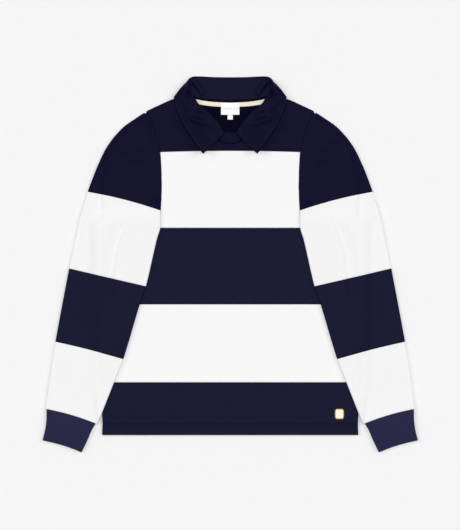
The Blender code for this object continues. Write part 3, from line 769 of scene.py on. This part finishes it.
def body_piece(node, colour, armhole, height, form, bottom, top, levels=(), furrows=(),
               hem=False):
    """One striped panel of the front or back. furrows are the heights of its rows of stitches."""
    bottom, top = bottom + (0 if hem else JOIN / 2), top - JOIN / 2
    ys = bottom + stops(top - bottom, extra=[y - bottom for y in furrows])
    ys = np.unique(np.concatenate([ys, [y for y in levels if bottom + 2 < y < top - 2]]))
    us = stops(2 * HALF_WIDTH, step=5.0) / HALF_WIDTH - 1.0
    half = across_at(SIDE_EDGE[:-1] + armhole, ys)[:, None]
    bow = (YOKE_BOW * ease((ys - BOW_START_Y) / (YOKE_Y - BOW_START_Y)))[:, None]
    x, y = half * us, ys[:, None] + bow * (1 - us**2)
    z = height(x, y) + form(x, y) + seam_form(top - ys)[:, None]
    if hem:
        z = z - 0.35 * (1 - ease((ys - bottom) / 3.0))[:, None]
    else:
        z = z + seam_form(ys - bottom)[:, None]
    z = z + seam_form(half * (1 - np.abs(us)))
    for furrow in furrows:
        z = z + stitch_form(ys - furrow, 0.6)[:, None]
    shell(node, np.stack([x, y, z], axis=-1), colour, straight=True)


def back_form(x, y):
    return np.zeros(np.shape(x))


bands = [("hem", "navy_fleece", navy, HEM_Y, WAIST_Y), ("waist", "white_fleece", white, WAIST_Y, MIDDLE_Y),
         ("middle", "navy_fleece", navy, MIDDLE_Y, CHEST_Y), ("chest", "white_fleece", white, CHEST_Y, YOKE_Y)]
for face, armhole, height, form in (("back", BACK_ARMHOLE, back_top, back_form),
                                    ("front", FRONT_ARMHOLE, front_top, front_form)):
    for band, slot, colour, bottom, top in bands:
        body_piece(f"{face}_{band}", colour, armhole, height, form, bottom, top,
                   levels=[y for y, x in armhole] if band == "chest" else (),
                   furrows=HEM_STITCHES if band == "hem" else (), hem=band == "hem")

YOKE_DEPTH = 100.0
SHOULDER_LENGTH = 82.0


def yoke_piece(node, armhole, neck, height, form, upper=None):
    """The navy top of the front or back, with a twin row of stitches above its lower seam."""
    neck_line, shoulder_line = Route(neck), Route(SHOULDER)
    half = across_at(armhole, YOKE_Y)
    turn = 0.55
    low_y = YOKE_Y + JOIN / 2

    def top(u):
        u = np.asarray(u, float)
        return np.where((u < turn)[..., None], neck_line(u / turn), shoulder_line((u - turn) / (1 - turn)))

    def bottom(u):
        u = np.asarray(u, float)
        return np.stack([half * u, low_y + YOKE_BOW * (1 - u**2)], axis=-1)

    def side(v):
        y = low_y + (SHOULDER[-1][1] - low_y) * np.asarray(v, float)
        return np.stack([across_at(armhole, y), y], axis=-1)

    surface = patch(line(bottom(0.0), top(0.0)), side, bottom, top)
    shoulder = turn + (1 - turn) * stops(SHOULDER_LENGTH, first=False)[1:] / SHOULDER_LENGTH
    us = np.concatenate([np.linspace(0, turn, 34), shoulder])
    vs = stops(YOKE_DEPTH, step=2.6, extra=YOKE_STITCHES) / YOKE_DEPTH
    u, v = np.meshgrid(us, vs)
    xy = both_sides(surface(u, v))
    x, y = xy[..., 0], xy[..., 1]
    low = low_y + YOKE_BOW * (1 - (x / half)**2)
    z = height(x, y) + form(x, y) + seam_form(y - low) + 0.15 * seam_form(across_at(armhole, y) - np.abs(x))
    z = z + seam_form(near_path(np.abs(x), y, neck)[0])
    for row in YOKE_STITCHES:
        z = z + stitch_form(y - low - row)
    shell(node, np.stack([x, y, z], axis=-1), navy_yoke, upper=upper,
          straight=True)
    return half, low_y


yoke_half, yoke_low = yoke_piece("front_yoke", FRONT_ARMHOLE, FRONT_NECK, front_top, front_form)
# The back yoke's upper face, seen inside the neck, takes the dark inner colour: painted shade.
yoke_piece("back_yoke", BACK_ARMHOLE, BACK_NECK, back_top, back_form, inside)


# Sleeves

outer_line, inner_line = Route(SLEEVE_OUTER), Route(SLEEVE_INNER)
FOLD_TURNS = np.linspace(0, math.pi, 9)[1:-1]
CAP_START = 0.035
CAP_LENGTH = 230.0
CAP_WIDTH = 120.0
CAP_UNDER_WIDTH = 100.0


def band_line(end, shift):
    return (inner_line.fraction(end[1]) + shift / inner_line.length,
            outer_line.fraction(end[0]) + shift / outer_line.length)


def inset(left, right):
    def inward(v):
        return unit(right(v) - left(v))
    return lambda v: left(v) + inward(v) * FOLD, lambda v: right(v) - inward(v) * FOLD, inward


def fold_round(centre, top, low, inward, way):
    """Points round a fold for every row, from the upper to the lower face, or back up where way is -1."""
    turns = FOLD_TURNS[None, :, None]
    xy = centre[:, None] + inward[:, None] * way * FOLD * np.sin(turns)
    middle, rise = (top + low)[:, None] / 2, (top - low)[:, None] / 2
    z = middle + way * rise * np.cos(FOLD_TURNS[None, :])
    return np.concatenate([xy, z[..., None]], axis=-1)


def under_edge(inner, outer):
    """Where the sleeve's lower face meets the body: along the armhole, round the underarm, up the back."""
    gap = SEAM + 0.2
    start_x, end_x = HIDDEN_ARMHOLE[-1][0], HIDDEN_ARMHOLE[1][0]
    path = [inner] + [(x + FOLD * (end_x - x) / (end_x - start_x), y - gap)
                      for x, y in reversed(HIDDEN_ARMHOLE[1:-1])]
    path += [(x + gap, min(y, BACK_SEAM_Y - SEAM)) for y, x in BACK_ARMHOLE[:3]] + [outer]
    path = np.array(path)
    at = [0.0, 0.04, 0.08, 0.15, 0.32, 0.54, 0.8, 0.87, 0.93, 1.0]
    return lambda t: np.stack([np.interp(t, at, path[:, 0]), np.interp(t, at, path[:, 1])], axis=-1)


def sleeve_ring(inward, upper, lower, us, vs, top_form, low_form):
    """Rows of points round a flat sleeve: over, round the outer fold, back under, round the inner fold."""
    u, v = np.meshgrid(us, vs)
    up, down = upper(u, v), lower(u, v)
    top = sleeve_top(up[..., 0], up[..., 1]) + top_form(up[..., 0], up[..., 1], u, v)
    low = sleeve_floor(down[..., 0], down[..., 1]) + low_form(down[..., 0], down[..., 1], u, v)
    ways = inward(vs)
    top_grid = np.concatenate([up, top[..., None]], axis=-1)
    low_grid = np.concatenate([down, low[..., None]], axis=-1)[:, ::-1]
    outer_fold = fold_round(up[:, -1], top[:, -1], sleeve_floor(up[:, -1, 0], up[:, -1, 1]), ways, 1)
    inner_fold = fold_round(up[:, 0], top[:, 0], sleeve_floor(up[:, 0, 0], up[:, 0, 1]), ways, -1)
    return np.concatenate([top_grid, outer_fold, low_grid, inner_fold], axis=1)


def sleeve_shell(part, worn, grid, colour, ring=True):
    """The wall of one piece of a sleeve, made on the wearer's left and mirrored for the right."""
    side = 1.0 if worn == "left" else -1.0
    grid[..., 0] *= side
    shell(f"{part}_{worn}", grid, colour, ring=ring, out=-side, ply=SLEEVE_PLY)


def sleeve_piece(worn, band, colour, start, end, start_bow, end_bow, under=None, cuff_end=False):
    in0, out0 = band_line(start, JOIN / 2)
    in1, out1 = band_line(end, -JOIN / 2)
    left, right, inward = inset(part_of(inner_line, in0, in1), part_of(outer_line, out0, out1))
    first, last = line(left(0.0), right(0.0), start_bow), line(left(1.0), right(1.0), end_bow)
    upper = patch(left, right, first, last)
    lower = patch(left, right, under(left(0.0), right(0.0)) if under else first, last)
    length = 0.5 * ((in1 - in0) * inner_line.length + (out1 - out0) * outer_line.length)
    vs = stops(length, step=3.6) / length
    width = np.linalg.norm(right(0.5) - left(0.5))

    def top_form(x, y, u, v):
        form = sleeve_form(x, y, u) * ease(u * width / 12.0) * ease((1 - u) * width / 12.0)
        form = form + seam_form(v * length) + seam_form((1 - v) * length)
        if cuff_end:
            gather = (np.sin(2 * math.pi * (u * 11 + 0.35 * np.sin(5 * u)))
                      * ease(u / 0.08) * ease((1 - u) / 0.08))
            form = form + 0.45 * gather * np.exp(-(1 - v) * length / 13.0) * ease((1 - v) * length / 3.0)
        return form

    def low_form(x, y, u, v):
        return under_form(x, y, u) * ease(v / 0.1) * ease((1 - v) / 0.1)

    us = stops(width, step=2.8, first=False, last=False) / width
    grid = sleeve_ring(inward, upper, lower, us, vs, top_form, low_form)
    sleeve_shell("sleeve_" + band, worn, grid, colour)


def cap_piece(worn):
    """The navy top of a sleeve, folded over the shoulder line between the two armhole seams."""
    out_end = outer_line.fraction(CAP_END[0]) - JOIN / 2 / outer_line.length
    top_y = SHOULDER[-1][1]

    def front_seam(t):
        y = top_y + (FOLD_START_Y + JOIN / 2 - top_y) * np.asarray(t, float)
        return np.stack([across_at(FRONT_ARMHOLE, y) + JOIN, y], axis=-1)

    def back_seam(t):
        y = top_y + (BACK_SEAM_Y + JOIN / 2 - top_y) * np.asarray(t, float)
        return np.stack([across_at(BACK_ARMHOLE, y) + SEAM, y], axis=-1)

    outer = part_of(outer_line, 0.0, out_end)
    upper = patch(front_seam, outer, line(front_seam(0.0), outer(0.0) + [0.01, 0.0]),
                  line(front_seam(1.0), outer(1.0), CAP_BOW))
    lower = patch(back_seam, outer, line(back_seam(0.0), outer(0.0) + [0.01, 0.0]),
                  line(back_seam(1.0), outer(1.0)))
    vs = CAP_START + (1 - CAP_START) * stops(CAP_LENGTH, step=3.6, first=False) / CAP_LENGTH
    us = stops(CAP_WIDTH, step=2.8, last=False) / CAP_WIDTH
    u, v = np.meshgrid(us, vs)
    inward = unit(outer(vs) - front_seam(vs))
    up = upper(u, v) - inward[:, None] * FOLD * u[..., None]
    x, y = up[..., 0], up[..., 1]
    from_seam = np.linalg.norm(up - front_seam(vs)[:, None], axis=-1)
    flush = front_top(front_seam(vs)[:, 0], front_seam(vs)[:, 1])[:, None]
    width = np.linalg.norm(outer(vs) - front_seam(vs), axis=-1)[:, None]
    z = flush + (sleeve_top(x, y) - flush) * ease(from_seam / CAP_SEAM_RAMP)
    soft = ease(from_seam / 14.0) * ease((width - from_seam) / 12.0) * ease(width / 60.0)
    z = z + sleeve_form(x, y, u) * soft + 0.15 * seam_form(from_seam) + seam_form((1 - v) * CAP_LENGTH)
    top_grid = np.stack([x, y, z], axis=-1)
    centre = outer(vs) - inward * FOLD
    fold = fold_round(centre, z[:, -1], np.zeros(len(vs)), inward, 1)
    u, v = np.meshgrid(1 - stops(CAP_UNDER_WIDTH, step=4.0, first=False) / CAP_UNDER_WIDTH, vs)
    down = lower(u, v) - inward[:, None] * FOLD * u[..., None]
    low = under_form(down[..., 0], down[..., 1], u) * ease((1 - v) / 0.08)
    low_grid = np.concatenate([down, low[..., None]], axis=-1)
    grid = np.concatenate([top_grid, fold, low_grid], axis=1)
    sleeve_shell("sleeve_cap", worn, grid, navy_yoke, ring=False)


def cuff_piece(worn):
    """A ribbed cuff. Its ribs run down both faces."""
    left, right, inward = inset(Route(CUFF_INNER), Route(CUFF_OUTER))
    length = 58.0
    vs = stops(length, step=3.0) / length
    us = np.linspace(0.0, 1.0, RIBS * 8 + 1)

    def across(u, v):
        bow = CUFF_BOW * (1 - v) + CUFF_END_BOW * v
        a, b = left(v), right(v)
        way = unit(b - a)
        turned = np.stack([-way[..., 1], way[..., 0]], axis=-1)
        return a + (b - a) * u[..., None] + turned * (bow * 4 * u * (1 - u))[..., None]

    def ridge(u):
        return RIB_RISE * np.abs(np.cos(math.pi * RIBS * u))**0.8

    def hold(v):
        return 0.55 + 0.45 * ease(v * length / 9.0) * ease((1 - v) * length / 4.0)

    def top_form(x, y, u, v):
        wave = 0.35 * np.sin(7 * u + 2.2 * v) * v
        return 0.3 + ridge(u) * hold(v) + wave - 0.7 * (1 - ease(v * length / 2.5))

    def low_form(x, y, u, v):
        return RIB_RISE - ridge(u) * hold(v)

    grid = sleeve_ring(inward, across, across, us, vs, top_form, low_form)
    sleeve_shell("cuff", worn, grid, rib)


for worn in ("left", "right"):
    cap_piece(worn)
    # The white sleeve bands take the darker copy of the white: painted shade.
    sleeve_piece(worn, "upper", white_sleeve_painted_shade, CAP_END, UPPER_END, CAP_BOW, 0.0, under_edge)
    sleeve_piece(worn, "middle", navy, UPPER_END, MIDDLE_END, 0.0, MIDDLE_BOW)
    sleeve_piece(worn, "lower", white_sleeve_painted_shade, MIDDLE_END, LOWER_END, MIDDLE_BOW, CUFF_BOW,
                 cuff_end=True)
    cuff_piece(worn)


# Collar

LEAF_CREASES = [
    ([(38.0, 276.0), (54.0, 285.0), (70.0, 281.0)], 3.2, 7.0),
    ([(38.0, 263.0), (58.0, 270.0), (84.0, 279.0)], -3.0, 8.0),
    ([(77.0, 324.0), (84.0, 309.0), (80.0, 288.0)], -2.4, 9.0),
    ([(86.0, 299.0), (94.0, 302.0), (101.0, 306.0)], 1.5, 6.0),
    ([(22.0, 240.0), (36.0, 252.0), (46.0, 266.0)], 1.5, 7.0),
]
STAND_CREASES = [
    ([(78.0, 346.0), (73.0, 333.0), (66.0, 324.0), (52.0, 315.0)], -7.0, 8.0),
    ([(66.0, 357.0), (55.0, 344.0), (47.0, 328.0), (42.0, 316.0)], -1.2, 3.4),
    ([(72.0, 352.0), (63.0, 340.0), (55.0, 328.0), (50.0, 318.0)], 4.5, 4.5),
]
STAND_POINTS = 12
ROLL_POINTS = 9
ROLL_COLUMN = STAND_POINTS + ROLL_POINTS // 2
LEAF_COLUMN = STAND_POINTS + ROLL_POINTS
FRONT_ROWS = 60
LEAF_LIFT = 8.0
ROLL_LIFT = 5.0


def collar_grid(steps=150):
    """Middle surface of the collar: up the stand, over the roll and down the fall, swept round the neck."""
    lines = [Route([station[k] for station in COLLAR]) for k in range(4)]
    shares = [[each.fraction(k) for k in range(len(COLLAR))] for each in lines]
    rows = []
    places = np.concatenate([[0.0], np.array(EDGE_STEPS[1:6]) / 15.0, np.linspace(0.5, len(COLLAR) - 1, steps)])
    for place in places:
        k = min(int(place), len(COLLAR) - 2)
        seam, roll, fall, edge = [each(share[k] + (share[k + 1] - share[k]) * (place - k))
                                  for each, share in zip(lines, shares)]
        turn, facing = (math.radians(np.interp(place, range(len(COLLAR)), [station[at] for station in COLLAR]))
                        for at in (4, 5))
        out = np.array([math.cos(facing), math.sin(facing), 0.0])
        tip = UP * math.sin(turn) - out * math.cos(turn)
        side = UP * math.cos(turn) + out * math.sin(turn)
        radius = ROLL_RADIUS * (1 + math.sin(turn)**2)
        arc = [roll + side * radius * -math.cos(a) + tip * radius * math.sin(a)
               for a in np.linspace(0.0, math.pi, ROLL_POINTS)]
        steep = 1.0 + 2.2 * math.exp(-((place - 8.2) / 1.7)**2)
        stand = [seam + (arc[0] - seam) * [t, t, t**steep] for t in np.linspace(0.0, 0.94, STAND_POINTS)]
        leaf = Route([arc[-1], fall, edge])
        row = np.array(stand + arc + [leaf(1 - (1 - t)**1.25) for t in np.linspace(0, 1, 30)[1:]])
        row[:, 2] = np.maximum(row[:, 2], CLOTH / 2)
        rows.append(row)
    grid = np.array(rows)
    grid[-1, :, 0] = 0.0
    columns = np.arange(grid.shape[1])
    share = np.clip((columns - LEAF_COLUMN) / (grid.shape[1] - LEAF_COLUMN - 1), 0.0, 1.0)[None, :]
    places = places[:, None]
    x, y = grid[..., 0], grid[..., 1]
    form = sum(crease(x, y, path, height, width) for path, height, width in LEAF_CREASES)
    grid[..., 2] += 4 * share * (1 - share) * form * ease((7.5 - places) / 2.0)
    grid[..., 2] += LEAF_LIFT * ease(share) * ease((6.0 - places) / 3.0)
    from_roll = (columns[None, :] - ROLL_COLUMN) / 6.0
    grid[..., 2] += ROLL_LIFT * np.exp(-((places - 8.0) / 1.6)**2 - from_roll**2)
    on_stand = (columns <= STAND_POINTS)[None, :] * ease((places - 6.5) / 1.0)
    for path, height, width in STAND_CREASES:
        pressed = grid[..., 2] + crease(x, y, path, height, width, 0.12) * on_stand
        grid[..., 2] = np.maximum(pressed, np.minimum(grid[..., 2], 3.4))
    return grid


half_collar = collar_grid()
collar_rows = np.concatenate([half_collar, mirrored(half_collar)[-2::-1]], axis=0)
collar_obj, collar_face, collar_normals = shell("collar", collar_rows, collar_cloth, ply=2.0,
                                                centred=True,
                                                roundness=1.0)
# The stand and the inner half of the roll take the lighter copy of the collar's navy: painted light.
collar_obj.data.materials.append(stand_cloth_painted_light)
faces_across = collar_face.shape[1] - 1
for k in range((collar_face.shape[0] - 1) * faces_across):
    if k % faces_across < ROLL_COLUMN:
        collar_obj.data.polygons[k].material_index = 1


def along_edge(face, normals, distance, rows, from_last=True):
    """The line on a face at a distance from its last column, for some of its rows."""
    points, ups = [], []
    for r in rows:
        row, way = (face[r, ::-1], normals[r, ::-1]) if from_last else (face[r], normals[r])
        at = distances(row)
        points.append(read_at(at, row, distance))
        ups.append(read_at(at, way, distance))
    return np.array(points), np.array(ups)


def clear_of(points, others, distance):
    gaps = np.linalg.norm(points[:, None] - others[None], axis=-1).min(axis=1)
    return gaps > distance


runs = []
front_face, front_normals = (a.transpose(1, 0, 2)[:, :FRONT_ROWS] for a in (collar_face, collar_normals))
leaf_columns = range(LEAF_COLUMN + 1, collar_face.shape[1])
leaf_edge = along_edge(collar_face, collar_normals, COLLAR_STITCH - 1.0, range(len(half_collar)))
leaf_front = along_edge(front_face, front_normals, COLLAR_STITCH - 1.0, leaf_columns, from_last=False)
for (points, ups), away in ((leaf_edge, collar_face[0]), (leaf_front, collar_face[:FRONT_ROWS, -1])):
    kept = clear_of(points, away, COLLAR_STITCH - 0.3)
    runs.append((points[kept], ups[kept]))
runs += [(mirrored(points), mirrored(ups)) for points, ups in list(runs)]
stitches("collar_stitching", runs, navy_thread)


# Neck band, tape, label and tab

neck_line = Route(FRONT_NECK)
us = np.linspace(0.0, 1.03, 22)
vs = stops(BAND_HEIGHT, step=1.0, extra=(BAND_HEIGHT - BAND_STITCH,)) / BAND_HEIGHT
u, v = np.meshgrid(us, vs)
low = neck_line(u * neck_line.fraction(BAND_ROW)) + [0.0, JOIN]
high = np.stack([BAND_TOP_X * u, np.full(u.shape, BAND_TOP_Y)], axis=-1)
band = both_sides(low + (high - low) * v[..., None])
length = np.linalg.norm(both_sides(high - low), axis=-1)
v = both_sides(v)
x, y = band[..., 0], band[..., 1]
z = front_top(x, y) + seam_form(v * length) * 0.7 + stitch_form((1 - v) * length - BAND_STITCH, 0.4)
band_grid = np.stack([x, y, z], axis=-1)
shell("neck_band", band_grid, collar_cloth, turn=True)
points = np.array([read_at(vs, band_grid[:, c], 1 - BAND_STITCH / length[0, c])
                   for c in range(band_grid.shape[1])])
stitches("band_stitching", [level_run(points)], navy_thread, pitch=2.6, radius=0.22)

back_line = Route(BACK_NECK)
us = np.linspace(0.0, 1.0, 40)
drops = TAPE_DROP + TAPE_WIDTH * np.array([1.0, 0.9, 0.8, 0.65, 0.5, 0.35, 0.2, 0.1, 0.0])
u, drop = np.meshgrid(us, drops)
tape, drop = both_sides(back_line(u * TAPE_END_X / back_line.length)), both_sides(drop)
x, y = tape[..., 0], tape[..., 1] - drop
share = (drop - TAPE_DROP) / TAPE_WIDTH
z = back_top(x, y) + SEAM + TRIM + 0.25 * np.sqrt(np.clip(4 * share * (1 - share), 0, 1)) - 0.2
tape_grid = np.stack([x, y, z], axis=-1)
shell("neck_tape", tape_grid, cream, ply=TRIM)
stitches("tape_stitching", [level_run(tape_grid[k], 0.05) for k in (1, -2)], cream_thread,
         pitch=2.4, radius=0.18)


def over_tape(x, y):
    return back_top(x, y) + (TRIM + SEAM) * ease((y - TAPE_EDGE_Y) / 5.0)


def flat_piece(node, half_width, low_y, high_y, height, curl, count=25):
    """A small woven piece lying on what height gives, with a little curl along its lower edge."""
    x, y = np.meshgrid(np.linspace(-half_width, half_width, count), np.linspace(low_y, high_y, count))
    lift = curl * (1 - ease((y - low_y) / 7.0)) * (0.6 + 0.4 * (x / half_width)**2)
    wave = 0.12 * np.sin(x / 5.5 + 0.8)
    grid = np.stack([x, y, height(x, y) + SEAM + WOVEN_PLY + lift + wave], axis=-1)
    shell(node, grid, label_cloth, ply=WOVEN_PLY)
    return grid


label_grid = flat_piece("neck_label", *LABEL, over_tape, 0.25)
flat_piece("size_tab", *TAB, back_top, 0.35, count=13)
label_runs = [level_run(points, 0.02) for points in (label_grid[-2], label_grid[:, 1], label_grid[:, -2])]
stitches("label_stitching", label_runs, white_thread, pitch=2.0, radius=0.13, gap=0.5)


# Patch on the hem

def patch_outline(angle, shrink=0.0, share=1.0):
    """A rounded upright rectangle round the patch's centre, or a share of the way out to it."""
    w, h = PATCH_SIZE[0] / 2 - shrink, PATCH_SIZE[1] / 2 - shrink
    c, s = np.cos(angle), np.sin(angle)
    r = (np.abs(c / w)**5 + np.abs(s / h)**5)**(-1 / 5) * share
    return PATCH_CENTRE[0] + r * c, PATCH_CENTRE[1] + r * s


def patch_height(x, y):
    return front_top(x, y) + front_form(x, y) + SEAM * 0.2


sx, sy = np.meshgrid(np.linspace(-1, 1, 25), np.linspace(-1, 1, 25))
share = np.maximum(np.abs(sx), np.abs(sy))
x, y = patch_outline(np.arctan2(sy, sx), share=share)
z = patch_height(x, y) + TRIM + 0.35 * ease((1 - share) / 0.3)
shell("hem_patch", np.stack([x, y, z], axis=-1), patch_cloth, ply=0.9)


def edge_binding():
    """Gold yarn wound round the patch's edge, wrap beside wrap."""
    turns = np.linspace(0, 2 * math.pi, 600)
    cx, cy = patch_outline(turns, 0.55)
    cz = patch_height(cx, cy) + TRIM * 0.75
    path = np.stack([cx, cy, cz], axis=-1)
    at = distances(path)
    count = 420
    path = read_at(at, path, np.linspace(0, at[-1], count, endpoint=False))
    tangent = unit(np.roll(path, -1, axis=0) - np.roll(path, 1, axis=0))
    side = unit(np.cross(UP, tangent))
    sides = 10
    verts, faces = [], []
    for k in range(count):
        swell_by = 1 + 0.13 * math.cos(2 * math.pi * k / 5)
        for j in range(sides):
            a = 2 * math.pi * j / sides
            verts.append(path[k] + side[k] * math.cos(a) * 0.95 * swell_by
                         + UP * math.sin(a) * 0.75 * swell_by)
    for k in range(count):
        for j in range(sides):
            a, b = k * sides + j, k * sides + (j + 1) % sides
            c, d = ((k + 1) % count) * sides + (j + 1) % sides, ((k + 1) % count) * sides + j
            faces.append((a, b, c, d))
    to_mesh("patch_binding", np.array(verts), np.array(faces), None, gold_thread)


edge_binding()


# Rows of stitches on the yokes and hems

def front_run(width, y_of, rise):
    """A row of stitches across the front, at the y that y_of gives for each x."""
    x = np.linspace(-width, width, 200)
    y = y_of(x)
    z = front_top(x, y) + front_form(x, y) + rise
    return level_run(np.stack([x, y, z], axis=-1))


def yoke_row(row):
    return lambda x: yoke_low + YOKE_BOW * (1 - (x / yoke_half)**2) + row


yoke_runs = [front_run(yoke_half - 1.5, yoke_row(row), float(seam_form(row)) - 0.3) for row in YOKE_STITCHES]
stitches("yoke_stitching", yoke_runs, navy_thread)

hem_runs = [front_run(float(across_at(SIDE_EDGE, y)) - 2.0, lambda x, y=y: np.full(x.shape, y), -0.5)
            for y in HEM_STITCHES]
stitches("hem_stitching", hem_runs, navy_thread)


# Light and camera

def sun(name, energy, angle, lean, turn):
    """Even light from lean degrees off the vertical, on the side that turn degrees from the top gives."""
    light = bpy.data.lights.new(name, "SUN")
    light.energy = energy
    light.angle = math.radians(angle)
    obj = bpy.data.objects.new(name, light)
    obj.rotation_euler = (math.radians(-lean), 0.0, math.radians(turn))
    bpy.context.scene.collection.objects.link(obj)


sun("overhead", 1.95, 35, 0, 0)
sun("top_left", 1.02, 30, 52, 72)
sun("top_right", 1.02, 30, 52, -72)

world = bpy.data.worlds.new("studio")
world.use_nodes = True
background = world.node_tree.nodes["Background"].inputs
background["Color"].default_value = (1.0, 1.0, 1.0, 1.0)
background["Strength"].default_value = 0.15
bpy.context.scene.world = world
bpy.context.scene.view_settings.view_transform = "Standard"

# The photograph covers 460 by 530 pixels, straight from above. The camera is moved a little to fit its outline.
PHOTO_HEIGHT = 530
PIXEL = 1.895
SENSOR = 36.0
DISTANCE = 3.0
camera_data = bpy.data.cameras.new("camera")
camera_data.sensor_fit = "VERTICAL"
camera_data.sensor_height = SENSOR
camera_data.lens = SENSOR * DISTANCE / (PHOTO_HEIGHT * PIXEL * MM)
camera_data.clip_end = 30.0
camera = bpy.data.objects.new("camera", camera_data)
camera.location = (-0.0004, -0.0012, 3.005)
bpy.context.scene.collection.objects.link(camera)
bpy.context.scene.camera = camera
